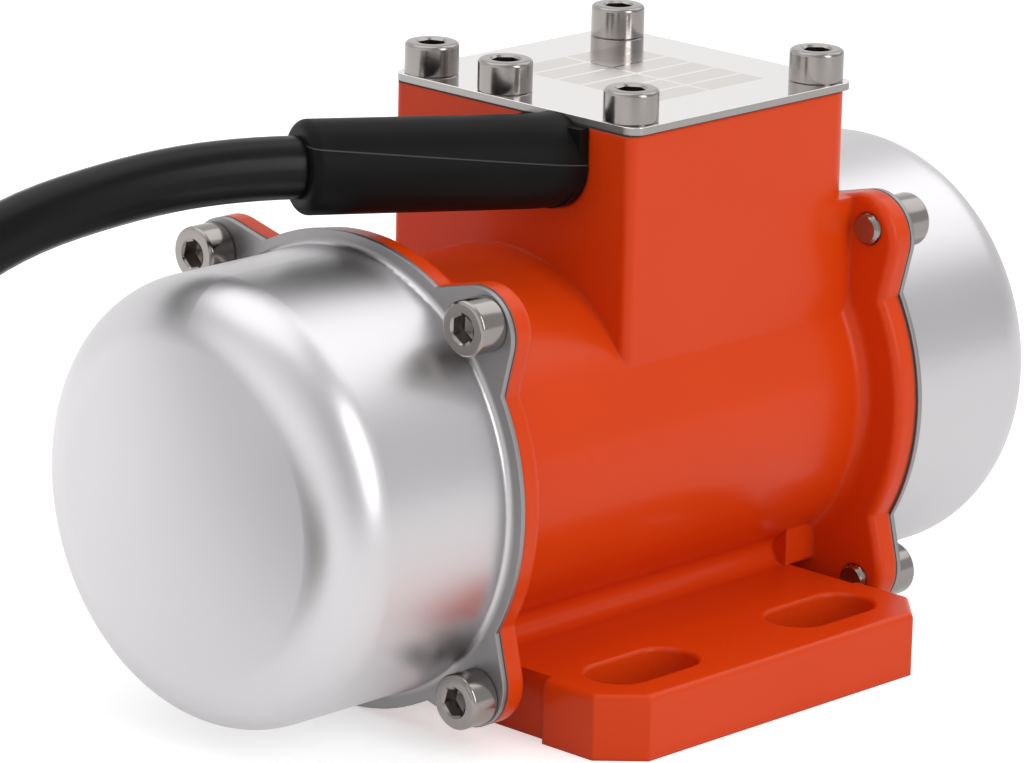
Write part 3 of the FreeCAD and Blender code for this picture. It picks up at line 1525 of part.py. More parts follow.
cover_screw = screw_template("cover_screw_template", "cover_screw_length", "screw_radius",
                             "screw_head_radius", "screw_head_height")
lid_screw = screw_template("lid_screw_template", "lid_screw_length", "screw_radius",
                           "screw_head_radius", "screw_head_height")
clamp_screw = screw_template("clamp_screw_template", "clamp_screw_length", "clamp_screw_radius",
                             "clamp_head_radius", "clamp_head_height")
pole_screw = screw_template("pole_screw_template", "pole_screw_length", "pole_screw_radius",
                            "small_head_radius", "small_head_height", hexagon=False)
block_screw = screw_template("block_screw_template", "block_screw_length", "block_screw_radius",
                             "small_head_radius", "small_head_height", hexagon=False)
earth_screw = screw_template("earth_screw_template", "earth_screw_length", "earth_screw_radius",
                             "earth_head_radius", "earth_head_height", hexagon=False)
ball = doc.addObject("Part::Sphere", "ball_template")
ball.Radius = size["ball_radius"]
ball.setExpression("Radius", "dims.ball_radius")
doc.recompute()

nodes = [
    make_housing(),
    make_lid_gasket(),
    make_lid(),
    copies("lid_screws", lid_screw, lid_screw_spots()),
    make_cable_boot(),
    make_cable_entry(),
    make_ring("left_bearing_spring", True, [
        ("spring_start", "spring_inner"), ("spring_start + spring_wire", "spring_inner"),
        ("bearing_start", "spring_outer"), ("bearing_start - spring_wire", "spring_outer"),
    ]),
    make_stator_core(),
    make_stator_winding(),
    make_terminal_block(),
    copies("terminal_screws", pole_screw, pole_screw_spots()),
    copies("terminal_block_screws", block_screw, block_screw_spots()),
    make_earth_lug(),
    copies("earth_screw", earth_screw, [upright(size["earth_x"], -size["earth_y"],
                                                size["box_floor"] + size["lug_thickness"])]),
    make_stator_leads(),
    make_cable_cores(),
    make_shaft(),
    make_rotor_core(),
    make_rotor_cage(),
    make_power_cable(),
    make_cable_coil(),
    make_cable_tie("cable_tie_near", ""),
    make_cable_tie("cable_tie_far", "-"),
    make_core_ends(),
]
for end, turned, seat in (("left", True, "spring_start"), ("right", False, "bearing_start")):
    nodes += [
        make_cover_gasket(end + "_cover_gasket", turned),
        make_cover(end + "_cover", turned),
        copies(end + "_cover_screws", cover_screw, cover_screw_spots(), turned),
        make_bracket(end + "_bearing_bracket", turned, seat),
        make_ring(end + "_bracket_ring", turned,
                  box_profile("bearing_end", "ring_inner", "ring_end", "ring_fit"), OPEN_RING),
        make_race(end + "_outer_race", turned, "shoulder_radius", "bearing_radius"),
        make_race(end + "_inner_race", turned, "race_bore", "inner_shoulder"),
        make_balls(end + "_bearing_balls", turned),
        make_ball_cage(end + "_bearing_cage", turned),
        make_ring(end + "_spacer", turned,
                  box_profile("bearing_end", "race_bore", "fixed_weight_start", "spacer_radius")),
        make_fixed_weight(end + "_fixed_weight", turned),
        make_key(end + "_weight_key", turned),
        make_adjustable_weight(end + "_adjustable_weight", turned),
        copies(end + "_clamp_screw", clamp_screw, clamp_screw_spot(), turned),
        make_ring(end + "_shaft_ring", turned,
                  box_profile("shaft_ring_start", "shaft_ring_fit", "shaft_ring_end",
                              "shaft_ring_outer"), OPEN_RING),
    ]

doc.recompute()
for part in doc.Objects:
    if "Invalid" in part.State or "Error" in part.State:
        raise RuntimeError(f"{part.Name} is {part.State}")
for node in nodes:
    if node.Shape.isNull() or not node.Shape.isValid() or node.Shape.Volume <= 0:
        raise RuntimeError(f"{node.Label} has no valid solid")
    node.Shape.exportStep(f"parts/{node.Label}.step")
print(len(nodes), "nodes written")
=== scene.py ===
import math

import bmesh
import bpy
from mathutils import Matrix, Vector


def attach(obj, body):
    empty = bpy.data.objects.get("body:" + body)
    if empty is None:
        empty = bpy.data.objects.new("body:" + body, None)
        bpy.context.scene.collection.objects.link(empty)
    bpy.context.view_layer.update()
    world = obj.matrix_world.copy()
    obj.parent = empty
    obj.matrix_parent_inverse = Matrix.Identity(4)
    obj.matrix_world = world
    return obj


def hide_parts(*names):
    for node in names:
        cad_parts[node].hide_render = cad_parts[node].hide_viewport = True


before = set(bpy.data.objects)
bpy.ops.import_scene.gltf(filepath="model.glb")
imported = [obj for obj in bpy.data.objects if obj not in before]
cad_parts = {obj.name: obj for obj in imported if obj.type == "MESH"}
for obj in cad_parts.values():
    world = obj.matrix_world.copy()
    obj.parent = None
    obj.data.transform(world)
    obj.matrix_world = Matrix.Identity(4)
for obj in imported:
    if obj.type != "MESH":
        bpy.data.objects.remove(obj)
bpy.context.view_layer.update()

# Housing. One iron casting: the barrel for the stator, a flange with four ears at each end, the
# slotted foot and the terminal box. The bore, the flange faces and the foot's underside are
# machined, and everything that stays outside is sprayed with a glossy orange enamel.
AXIS = 0.0372
BORE = 0.0267
FLANGE_FACE = 0.04415
MATH = "ShaderNodeMath"


def linear(hex_colour):
    """An sRGB hex colour as the linear RGBA that the nodes take."""
    parts = [int(hex_colour[i:i + 2], 16) / 255 for i in (1, 3, 5)]
    return [c / 12.92 if c <= 0.04045 else ((c + 0.055) / 1.055) ** 2.4 for c in parts] + [1.0]


def add_node(tree, kind, settings=None, inputs=None):
    """Add a node with its settings, or one word for its operation, and with its inputs.

    An input takes a value, a hex colour, or the node or socket that feeds it.
    """
    node = tree.nodes.new(kind)
    if isinstance(settings, str):
        settings = {"operation": settings}
    for name, value in (settings or {}).items():
        setattr(node, name, value)
    for name, value in (inputs or {}).items():
        named = [s for s in node.inputs if s.enabled and s.name == name]
        socket = named[0] if named else node.inputs[name]
        if isinstance(value, bpy.types.Node):
            value = next(s for s in value.outputs if s.enabled)
        if isinstance(value, bpy.types.NodeSocket):
            tree.links.new(value, socket)
        elif isinstance(value, str) and value.startswith("#"):
            socket.default_value = linear(value)
        else:
            socket.default_value = value
    return node


def start_material(name):
    """An empty material, its node tree and the socket of the object's own coordinates."""
    material = bpy.data.materials.new(name)
    material.use_nodes = True
    tree = material.node_tree
    tree.nodes.clear()
    place = add_node(tree, "ShaderNodeTexCoord").outputs["Object"]
    return material, tree, place


def finish_node(name, material):
    """Give a CAD node that stays in view its finish."""
    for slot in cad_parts[name].material_slots:
        slot.material = material


def from_axis(tree, place):
    """A point's distance from the shaft's middle line, and its place along and above it."""
    split = add_node(tree, "ShaderNodeSeparateXYZ", {}, {0: place})
    up = add_node(tree, MATH, "SUBTRACT", {0: split.outputs[2], 1: AXIS})
    flat = add_node(tree, "ShaderNodeCombineXYZ", {}, {1: split.outputs[1], 2: up})
    length = add_node(tree, "ShaderNodeVectorMath", "LENGTH", {0: flat})
    return length.outputs["Value"], split.outputs[0], split.outputs[2]


# Enamel sprayed on a casting: glossy, with a fine orange peel, a little thicker and darker in places.
# The paint rounds the edges, so they catch a thin light line.
enamel, tree, place = start_material("sprayed_enamel")
edge = add_node(tree, "ShaderNodeBevel", {"samples": 6}, {"Radius": 0.0008})
# Orange peel of 0.3 mm is drawn 1.1 mm wide.
peel = add_node(tree, "ShaderNodeTexNoise", {}, {"Vector": place, "Scale": 1000 / 1.1, "Detail": 1})
skin = add_node(tree, "ShaderNodeBump", {}, {
    "Height": peel, "Distance": 0.000006, "Strength": 0.35, "Normal": edge})
flow = add_node(tree, "ShaderNodeTexNoise", {}, {"Vector": place, "Scale": 1000 / 24, "Detail": 1})
tint = add_node(tree, "ShaderNodeMix", {"data_type": "RGBA"}, {
    "Factor": flow, "A": "#DC430C", "B": "#D53F0B"})
gloss = add_node(tree, "ShaderNodeMapRange", {}, {"Value": flow, "To Min": 0.26, "To Max": 0.32})
painted = add_node(tree, "ShaderNodeBsdfPrincipled", {}, {
    "Base Color": tint, "Roughness": gloss, "Specular IOR Level": 0.18, "Normal": skin,
    "Coat Weight": 0.06, "Coat Roughness": 0.05, "Coat IOR": 1.5})
# The machined faces show bare grey iron with fine tool lines.
radius, along, height = from_axis(tree, place)
drawn_out = add_node(tree, "ShaderNodeMapping", {}, {"Vector": place, "Scale": (2000, 250, 250)})
lines = add_node(tree, "ShaderNodeTexNoise", {}, {"Vector": drawn_out, "Scale": 1, "Detail": 2})
cut = add_node(tree, "ShaderNodeBump", {}, {"Height": lines, "Distance": 0.00001})
rough = add_node(tree, "ShaderNodeMapRange", {}, {"Value": lines, "To Min": 0.36, "To Max": 0.48})
iron = add_node(tree, "ShaderNodeBsdfPrincipled", {}, {
    "Base Color": "#8C8B88", "Metallic": 1.0, "Roughness": rough, "Normal": cut})
inside = add_node(tree, MATH, "LESS_THAN", {0: radius, 1: BORE})
away = add_node(tree, MATH, "ABSOLUTE", {0: along})
faced = add_node(tree, MATH, "GREATER_THAN", {0: away, 1: FLANGE_FACE})
sole = add_node(tree, MATH, "LESS_THAN", {0: height, 1: 0.00004})
bare = add_node(tree, MATH, "MAXIMUM", {0: inside, 1: faced})
bare = add_node(tree, MATH, "MAXIMUM", {0: bare, 1: sole})
both = add_node(tree, "ShaderNodeMixShader", {}, {0: bare, 1: painted, 2: iron})
add_node(tree, "ShaderNodeOutputMaterial", {}, {"Surface": both})
finish_node("housing", enamel)

# Stator. A stack of electrical-steel sheets pressed into the bore, with copper coils in its twelve
# slots and their end turns bound and dipped in varnish. Three leads rise from it into the box.
METAL = {"Metallic": 1.0}


def pattern_drives(tree, pattern, colours, roughness, relief=0.0, more=METAL):
    """Finish a material whose tint, roughness and relief all follow one pattern."""
    tint = add_node(tree, "ShaderNodeMix", {"data_type": "RGBA"}, {
        "Factor": pattern, "A": colours[0], "B": colours[-1]})
    rough = add_node(tree, "ShaderNodeMapRange", {}, {
        "Value": pattern, "To Min": roughness[0], "To Max": roughness[-1]})
    inputs = {"Base Color": tint, "Roughness": rough, **more}
    if relief:
        inputs["Normal"] = add_node(tree, "ShaderNodeBump", {}, {"Height": pattern, "Distance": relief})
    surface = add_node(tree, "ShaderNodeBsdfPrincipled", {}, inputs)
    add_node(tree, "ShaderNodeOutputMaterial", {}, {"Surface": surface})


laminated, tree, place = start_material("stacked_electrical_steel")
# Sheets of 0.5 mm are drawn as soft bands of 6.3 mm, so that the stack shows.
sheets = add_node(tree, "ShaderNodeTexWave", {"bands_direction": "X"}, {"Vector": place, "Scale": 50})
pattern_drives(tree, sheets.outputs["Fac"], ["#4A4B4E", "#6B6C6F"], [0.5], 0.00006)
for name in ("stator_core", "rotor_core"):
    finish_node(name, laminated)

varnished, tree, place = start_material("varnished_copper_wire")
# Strands of 0.4 mm are drawn 0.8 mm wide.
laid = add_node(tree, "ShaderNodeMapping", {}, {"Vector": place, "Scale": (1250, 208, 208)})
strands = add_node(tree, "ShaderNodeTexNoise", {}, {"Vector": laid, "Scale": 1, "Detail": 1})
pattern_drives(tree, strands, ["#6E2C12", "#C06A32"], [0.35], 0.00012,
               {"Metallic": 0.5, "Coat Weight": 0.7, "Coat Roughness": 0.2})
finish_node("stator_winding", varnished)

sleeving, tree, place = start_material("woven_lead_sleeving")
# A woven glass sleeve of 0.3 mm threads is drawn with threads of 0.5 mm.
weave = add_node(tree, "ShaderNodeTexVoronoi", {}, {"Vector": place, "Scale": 1000 / 0.5})
pattern_drives(tree, weave, ["#8C3722", "#6A2415"], [0.6], 0.00003, {})
finish_node("stator_leads", sleeving)

# Bearings. Deep-groove bearings of bearing steel with a riveted brass cage, each held in a turned
# steel bracket that sits in the bore behind a spring-steel ring. A wave spring loads the left one.


def mottled(name, width_mm, detail, colours, roughness, relief=0.0, more=METAL, on_lathe=False):
    """A material that follows marks of this width: blotches, or rings where it turned on a lathe."""
    material, tree, place = start_material(name)
    if on_lathe:
        radius, along, height = from_axis(tree, place)
        place = add_node(tree, "ShaderNodeCombineXYZ", {}, {0: radius, 1: along})
    marks = add_node(tree, "ShaderNodeTexNoise", {}, {
        "Vector": place, "Scale": 1000 / width_mm, "Detail": detail})
    pattern_drives(tree, marks, colours, roughness, relief, more)
    return material


# Grinding marks of 0.05 mm are drawn 0.35 mm wide, and the lathe's feed of 0.15 mm twice as wide.
ground = mottled("ground_bearing_steel", 0.35, 3, ["#C4C6C9"], [0.12, 0.26], 0.000003, on_lathe=True)
turned = mottled("turned_steel", 0.3, 1, ["#A3A4A6"], [0.24, 0.40], 0.000012, on_lathe=True)
# Stamped brass dulls in stains, and oil lies on the dark spring steel as an uneven film.
brass = mottled("pressed_brass", 1.5, 2, ["#B8893C", "#D0AA5E"], [0.22, 0.42])
oiled = mottled("oiled_spring_steel", 1.2, 2, ["#2F3034", "#47484D"], [0.26, 0.48])
for side in ("left", "right"):
    finish_node(side + "_bearing_bracket", turned)
    finish_node(side + "_bracket_ring", oiled)
    finish_node(side + "_outer_race", ground)
    finish_node(side + "_inner_race", ground)
    finish_node(side + "_bearing_balls", ground)
    finish_node(side + "_bearing_cage", brass)
finish_node("left_bearing_spring", oiled)

# Rotor. A ground steel shaft carries the laminated core, whose bars and end rings are cast in
# aluminium with a pale, finely pitted skin, and a spacer sleeve behind each pair of weights.
cast = mottled("die_cast_aluminium", 0.7, 2, ["#B4B6B8"], [0.38, 0.58], 0.00003)
finish_node("rotor_cage", cast)
finish_node("shaft", ground)
for side in ("left", "right"):
    finish_node(side + "_spacer", turned)

# Eccentric weights. Half discs of phosphated steel plate, whose crystals of 0.05 mm are drawn 0.5 mm
# wide: at each end one is keyed to the shaft, one is clamped by a black screw, so that it can be
# turned for more or less force, and a spring-steel ring keeps them on.
phosphated = mottled("phosphated_steel_plate", 0.5, 3, ["#3E3F43", "#626366"], [0.45, 0.68], 0.00002,
                     {"Metallic": 0.8})
blackened = mottled("black_oxide_steel", 1.0, 2, ["#222325", "#343537"], [0.28, 0.48])
for side in ("left", "right"):
    finish_node(side + "_fixed_weight", phosphated)
    finish_node(side + "_adjustable_weight", phosphated)
    finish_node(side + "_weight_key", turned)
    finish_node(side + "_clamp_screw", blackened)
    finish_node(side + "_shaft_ring", oiled)

# Cover gaskets. Thin rings of compressed fibre sheet with the flange's outline, cut with a die.
fibre = mottled("compressed_fibre_sheet", 0.6, 4, ["#2E2D2C", "#4A4846"], [0.85], 0.00003, {})
for name in ("left_cover_gasket", "right_cover_gasket"):
    finish_node(name, fibre)

# End covers. Each is one cup deep-drawn from stainless sheet with a flat flange, and polished to a
# satin with a fine belt while it turns, which leaves the faintest rings round the shaft line. The
# belt doesn't reach the flange, so that stays as dull as the pressed sheet; its darker grey is
# painted shade for the dark that the flange reflects.
drawn, tree, place = start_material("satin_drawn_stainless_steel")
radius, along, height = from_axis(tree, place)
rings = add_node(tree, "ShaderNodeCombineXYZ", {}, {0: radius, 1: along})
# Polishing marks of 0.05 mm are drawn 0.3 mm wide.
belt = add_node(tree, "ShaderNodeTexNoise", {}, {"Vector": rings, "Scale": 1000 / 0.3, "Detail": 2})
hand = add_node(tree, "ShaderNodeTexNoise", {}, {"Vector": place, "Scale": 1000 / 30, "Detail": 1})
edge = add_node(tree, "ShaderNodeBevel", {"samples": 6}, {"Radius": 0.0003})
rough = add_node(tree, "ShaderNodeMapRange", {}, {"Value": hand, "To Min": 0.31, "To Max": 0.37})
worked = add_node(tree, MATH, "MULTIPLY_ADD", {0: belt, 1: 0.03, 2: rough})
flange = add_node(tree, "ShaderNodeMapRange", {"interpolation_type": "SMOOTHSTEP"}, {
    "Value": radius, "From Min": 0.0344, "From Max": 0.0352})
worked = add_node(tree, MATH, "MULTIPLY_ADD", {0: flange, 1: 0.08, 2: worked})
# The flange's darker grey is painted shade for the dark it reflects; its higher roughness is the unpolished
# sheet.
sheet_tint_with_painted_shade = add_node(tree, "ShaderNodeMix", {"data_type": "RGBA"}, {
    "Factor": flange, "A": "#D4D2D4", "B": "#A09E9F"})
lines = add_node(tree, "ShaderNodeBump", {}, {
    "Height": belt, "Distance": 0.0000012, "Strength": 0.5, "Normal": edge})
satin = add_node(tree, "ShaderNodeBsdfPrincipled", {}, {
    "Base Color": sheet_tint_with_painted_shade, "Metallic": 1.0, "Roughness": worked, "Normal": lines})
add_node(tree, "ShaderNodeOutputMaterial", {}, {"Surface": satin})
for name in ("left_cover", "right_cover"):
    finish_node(name, drawn)

# Cover and lid screws. M5 socket-head cap screws of stainless steel: a cold-headed cylinder with a
# rolled top edge, a hexagon socket pressed into it and a rolled thread. Thirteen in all: four hold
# each cover and five the lid. One tree of nodes makes them.
SCREW_SIZES = {
    "Head Radius": 0.00425, "Head Height": 0.0050, "Shank Radius": 0.0025,
    "Thread Pitch": 0.0008, "Thread Depth": 0.00042,
}
# Rows of the head from its seat to the bottom of the socket: share of the radius, share of the
# height, and how much the row follows the hexagon. The rolled edge is a quarter of a round.
EDGE_WIDE, EDGE_HIGH = 0.153, 0.130
EDGE_TURN = [(1 + EDGE_WIDE * (math.cos(math.radians(15 * i)) - 1),
              1 + EDGE_HIGH * (math.sin(math.radians(15 * i)) - 1), 0.0) for i in range(7)]
HEAD_ROWS = [(0.588, 0.0, 0.0), (0.955, 0.0, 0.0), (1.0, 0.04, 0.0), *EDGE_TURN, (0.58, 1.0, 0.0),
             (0.4706, 0.94, 1.0), (0.4706, 0.46, 1.0), (0.0, 0.36, 1.0)]
HEAD_SIDES = 48
THREAD_SIDES = 24
THREAD_ROWS = 72
THREAD_RUNOUT = 0.0006
TIP_CHAMFER = 0.0005
COVER_SCREW, LID_SCREW = 0.0062, 0.0100
# Edges that turn by more than this stay crisp.
SHARP = math.radians(32)


def wrapped_grid(tree, rows, columns):
    """A sheet of faces, with each point's row share and its angle once round."""
    sheet = add_node(tree, "GeometryNodeMeshGrid", {}, {
        "Size X": 1.0, "Size Y": 1.0, "Vertices X": rows, "Vertices Y": columns + 1})
    split = add_node(tree, "ShaderNodeSeparateXYZ", {}, {0: add_node(tree, "GeometryNodeInputPosition")})
    share = add_node(tree, MATH, "ADD", {0: split.outputs[0], 1: 0.5})
    angle = add_node(tree, MATH, "MULTIPLY_ADD", {0: split.outputs[1], 1: 2 * math.pi, 2: math.pi})
    return sheet.outputs["Mesh"], share, angle


def rolled_up(tree, mesh, angle, radius, height):
    """Move a sheet's points onto a turned shape and close its seam."""
    cosine = add_node(tree, MATH, "COSINE", {0: angle})
    sine = add_node(tree, MATH, "SINE", {0: angle})
    across = add_node(tree, MATH, "MULTIPLY", {0: radius, 1: cosine})
    aside = add_node(tree, MATH, "MULTIPLY", {0: radius, 1: sine})
    point = add_node(tree, "ShaderNodeCombineXYZ", {}, {0: across, 1: aside, 2: height})
    moved = add_node(tree, "GeometryNodeSetPosition", {}, {"Geometry": mesh, "Position": point})
    return add_node(tree, "GeometryNodeMergeByDistance", {}, {"Geometry": moved, "Distance": 0.000002})


def screw_tree():
    """The nodes that turn a mesh of seat points into screws."""
    tree = bpy.data.node_groups.new("socket_head_screws", "GeometryNodeTree")
    tree.interface.new_socket("Geometry", in_out="INPUT", socket_type="NodeSocketGeometry")
    tree.interface.new_socket("Geometry", in_out="OUTPUT", socket_type="NodeSocketGeometry")
    for name, value in {**SCREW_SIZES, "Shank Length": COVER_SCREW}.items():
        socket = tree.interface.new_socket(name, in_out="INPUT", socket_type="NodeSocketFloat")
        socket.default_value = value
    tree.interface.new_socket("Axis", in_out="INPUT", socket_type="NodeSocketVector")
    tree.interface.new_socket("Seed", in_out="INPUT", socket_type="NodeSocketInt")
    tree.interface.new_socket("Material", in_out="INPUT", socket_type="NodeSocketMaterial")
    given = add_node(tree, "NodeGroupInput").outputs

    # The head is turned row by row, and its last rows follow the hexagon of the key.
    sheet, share, angle = wrapped_grid(tree, len(HEAD_ROWS), HEAD_SIDES)
    row = add_node(tree, MATH, "MULTIPLY", {0: share, 1: len(HEAD_ROWS) - 1})
    row = add_node(tree, "FunctionNodeFloatToInt", {"rounding_mode": "ROUND"}, {0: row})
    picked = []
    for column in range(3):
        switch = add_node(tree, "GeometryNodeIndexSwitch", {"data_type": "FLOAT"}, {"Index": row})
        while len(switch.index_switch_items) < len(HEAD_ROWS):
            switch.index_switch_items.new()
        for i, values in enumerate(HEAD_ROWS):
            switch.inputs[i + 1].default_value = values[column]
        picked.append(switch.outputs[0])
    radius = add_node(tree, MATH, "MULTIPLY", {0: picked[0], 1: given["Head Radius"]})
    height = add_node(tree, MATH, "MULTIPLY", {0: picked[1], 1: given["Head Height"]})
    turned_on = add_node(tree, MATH, "ADD", {0: angle, 1: math.pi / 6})
    sixth = add_node(tree, MATH, "FLOORED_MODULO", {0: turned_on, 1: math.pi / 3})
    from_flat = add_node(tree, MATH, "SUBTRACT", {0: sixth, 1: math.pi / 6})
    cosine = add_node(tree, MATH, "COSINE", {0: from_flat})
    hexagon = add_node(tree, MATH, "DIVIDE", {0: radius, 1: cosine})
    wider = add_node(tree, MATH, "SUBTRACT", {0: hexagon, 1: radius})
    radius = add_node(tree, MATH, "MULTIPLY_ADD", {0: picked[2], 1: wider, 2: radius})
    head = rolled_up(tree, sheet, angle, radius, height)
    # The material reads this to paint the socket near black: painted shade for the hollow of the key.
    marked = add_node(tree, "GeometryNodeStoreNamedAttribute", {"data_type": "FLOAT", "domain": "POINT"},
                      {"Geometry": head, "Name": "in_socket", "Value": picked[2]})

    # The threaded shank: a helix of grooves that fades out at the head and at the chamfered tip.
    sheet, share, angle = wrapped_grid(tree, THREAD_ROWS, THREAD_SIDES)
    down = add_node(tree, MATH, "MULTIPLY", {0: share, 1: given["Shank Length"]})
    pitches = add_node(tree, MATH, "DIVIDE", {0: down, 1: given["Thread Pitch"]})
    round_share = add_node(tree, MATH, "DIVIDE", {0: angle, 1: 2 * math.pi})
    turns = add_node(tree, MATH, "SUBTRACT", {0: pitches, 1: round_share})
    groove = add_node(tree, MATH, "PINGPONG", {0: turns, 1: 0.5})
    depth = add_node(tree, MATH, "MULTIPLY", {0: groove, 1: given["Thread Depth"]})
    depth = add_node(tree, MATH, "MULTIPLY", {0: depth, 1: 2.0})
    fade = add_node(tree, MATH, {"operation": "DIVIDE", "use_clamp": True}, {
        0: down, 1: THREAD_RUNOUT})
    depth = add_node(tree, MATH, "MULTIPLY", {0: depth, 1: fade})
    radius = add_node(tree, MATH, "SUBTRACT", {0: given["Shank Radius"], 1: depth})
    left = add_node(tree, MATH, "SUBTRACT", {0: given["Shank Length"], 1: down})
    chamfer = add_node(tree, MATH, "ADD", {0: given["Shank Radius"], 1: left})
    chamfer = add_node(tree, MATH, "SUBTRACT", {0: chamfer, 1: TIP_CHAMFER})
    radius = add_node(tree, MATH, "MINIMUM", {0: radius, 1: chamfer})
    # Only the last row's share is above this: it closes the tip.
    open_rows = add_node(tree, MATH, "LESS_THAN", {0: share, 1: 0.995})
    radius = add_node(tree, MATH, "MULTIPLY", {0: radius, 1: open_rows})
    height = add_node(tree, MATH, "MULTIPLY", {0: down, 1: -1.0})
    shank = rolled_up(tree, sheet, angle, radius, height)

    joined = add_node(tree, "GeometryNodeJoinGeometry")
    tree.links.new(shank.outputs[0], joined.inputs[0])
    tree.links.new(marked.outputs[0], joined.inputs[0])
    stands = add_node(tree, "FunctionNodeAlignRotationToVector", {"axis": "Z"}, {"Vector": given["Axis"]})
    placed = add_node(tree, "GeometryNodeInstanceOnPoints", {}, {
        "Points": given["Geometry"], "Instance": joined, "Rotation": stands})
    chance = add_node(tree, "FunctionNodeRandomValue", {"data_type": "FLOAT"},
                      {2: 0.0, 3: math.pi / 3, "Seed": given["Seed"]})
    twist = add_node(tree, "ShaderNodeCombineXYZ", {}, {2: chance.outputs[1]})
    spun = add_node(tree, "GeometryNodeRotateInstances", {}, {
        "Instances": placed, "Rotation": twist, "Local Space": True})
    real = add_node(tree, "GeometryNodeRealizeInstances", {}, {0: spun})
    coated = add_node(tree, "GeometryNodeSetMaterial", {}, {
        "Geometry": real, "Material": given["Material"]})
    add_node(tree, "NodeGroupOutput", {}, {0: coated})
    return tree


# Stainless bar, cold-headed and tumbled bright: a warm grey, with the tool's faint marks on top.
screw_steel, tree, place = start_material("bright_stainless_screws")
socket = add_node(tree, "ShaderNodeAttribute", {"attribute_name": "in_socket"}).outputs["Fac"]
marks = add_node(tree, "ShaderNodeTexNoise", {}, {"Vector": place, "Scale": 1000 / 0.5, "Detail": 2})
shine = add_node(tree, "ShaderNodeMapRange", {}, {"Value": marks, "To Min": 0.14, "To Max": 0.24})
rough = add_node(tree, MATH, "MULTIPLY_ADD", {0: socket, 1: 0.2, 2: shine})
# The socket is painted near black, a painted shade for its hollow; its roughness also rises there.
steel_tint_with_painted_socket_shade = add_node(tree, "ShaderNodeMix", {"data_type": "RGBA"}, {
    "Factor": socket, "A": "#9C9794", "B": "#1A1817"})
fine = add_node(tree, "ShaderNodeBump", {}, {"Height": marks, "Distance": 0.000003})
steel = add_node(tree, "ShaderNodeBsdfPrincipled", {}, {
    "Base Color": steel_tint_with_painted_socket_shade, "Metallic": 1.0, "Roughness": rough, "Normal": fine})
add_node(tree, "ShaderNodeOutputMaterial", {}, {"Surface": steel})


def add_piece(name, data, slot, *nodes):
    """A piece that rides on the motor's body and stands for these CAD nodes."""
    piece = bpy.data.objects.new(name, data)
    bpy.context.scene.collection.objects.link(piece)
    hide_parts(*nodes)
    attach(piece, "motor")
    return piece


def screws(name, seats, axis, length, seed, node):
    """Screws with their heads' seats at these places, pointing along the axis."""
    mesh = bpy.data.meshes.new(name + "_seats")
    mesh.from_pydata(seats, [], [])
    spots = bpy.data.objects.new(name + "_seats", mesh)
    bpy.context.scene.collection.objects.link(spots)
    modifier = spots.modifiers.new("screws", "NODES")
    modifier.node_group = SCREWS
    wanted = {"Shank Length": length, "Axis": axis, "Seed": seed, "Material": screw_steel}
    for socket in SCREWS.interface.items_tree:
        if socket.item_type == "SOCKET" and socket.in_out == "INPUT" and socket.name in wanted:
            modifier[socket.identifier] = wanted[socket.name]
    bpy.context.view_layer.update()
    made = bpy.data.meshes.new_from_object(spots.evaluated_get(bpy.context.evaluated_depsgraph_get()))
    spots.modifiers.remove(modifier)
    bpy.data.objects.remove(spots)
    made.shade_smooth()
    made.set_sharp_from_angle(angle=SHARP)
    add_piece(name, made, "stainless screws", node)


SCREWS = screw_tree()
SCREW_OFFSET = 0.02865
COVER_SEAT = 0.0453
for side, way in (("left", -1), ("right", 1)):
    seats = [(way * COVER_SEAT, y * SCREW_OFFSET, AXIS + z * SCREW_OFFSET) for y in (-1, 1) for z in (-1, 1)]
    screws(side + "_cover_socket_screws", seats, (way, 0, 0), COVER_SCREW, 3 + way,
           side + "_cover_screws")

# Terminal block. White polyamide with three brass poles, two screws to the box floor and plated
# clamp screws; beside it the earth screw holds a tinned ring lug.
polyamide, tree, place = start_material("moulded_polyamide")
flow = add_node(tree, "ShaderNodeTexNoise", {}, {"Vector": place, "Scale": 1000 / 4, "Detail": 2})
grain = add_node(tree, "ShaderNodeTexNoise", {}, {"Vector": place, "Scale": 1000 / 0.5, "Detail": 1})
eroded = add_node(tree, "ShaderNodeBump", {}, {"Height": grain, "Distance": 0.00001})
pattern_drives(tree, flow, ["#DCD9CF", "#CFCBBE"], [0.45], 0.0,
               {"Subsurface Weight": 0.05, "Normal": eroded})
# Zinc leaves a faintly yellow spangle, and the dipped tin soft waves.
plated = mottled("zinc_plated_steel", 1.6, 2, ["#B8B29C", "#CFCBC2"], [0.24, 0.38])
tinned = mottled("tinned_copper", 1.0, 2, ["#C2C0BA"], [0.28, 0.44], 0.00001)
finish_node("terminal_block", polyamide)
for name in ("terminal_screws", "terminal_block_screws", "earth_screw"):
    finish_node(name, plated)
finish_node("earth_lug", tinned)

# Cable boot. Moulded black rubber that fills the notch in the box and grips the cable's sheath. The
# two halves of its mould leave a fine line that climbs along the sleeve; its lighter grey is a painted
# highlight on the line's ridge.
SEAM_SLOPE = (0.141, 0.0, 1.0)
SEAM_HEIGHT = 0.08033
SEAM_HALF, SEAM_FADE = 0.00004, 0.00016
rubber, tree, place = start_material("moulded_black_rubber")
bloom = add_node(tree, "ShaderNodeTexNoise", {}, {"Vector": place, "Scale": 1000 / 7, "Detail": 2})
black = add_node(tree, "ShaderNodeMix", {"data_type": "RGBA"}, {
    "Factor": bloom, "A": "#0E0E0E", "B": "#141414"})
level = add_node(tree, "ShaderNodeVectorMath", "DOT_PRODUCT", {0: place, 1: SEAM_SLOPE})
above = add_node(tree, MATH, "SUBTRACT", {0: level.outputs["Value"], 1: SEAM_HEIGHT})
off_line = add_node(tree, MATH, "ABSOLUTE", {0: above})
seam = add_node(tree, "ShaderNodeMapRange", {}, {
    "Value": off_line, "From Min": SEAM_HALF, "From Max": SEAM_FADE, "To Min": 1.0, "To Max": 0.0})
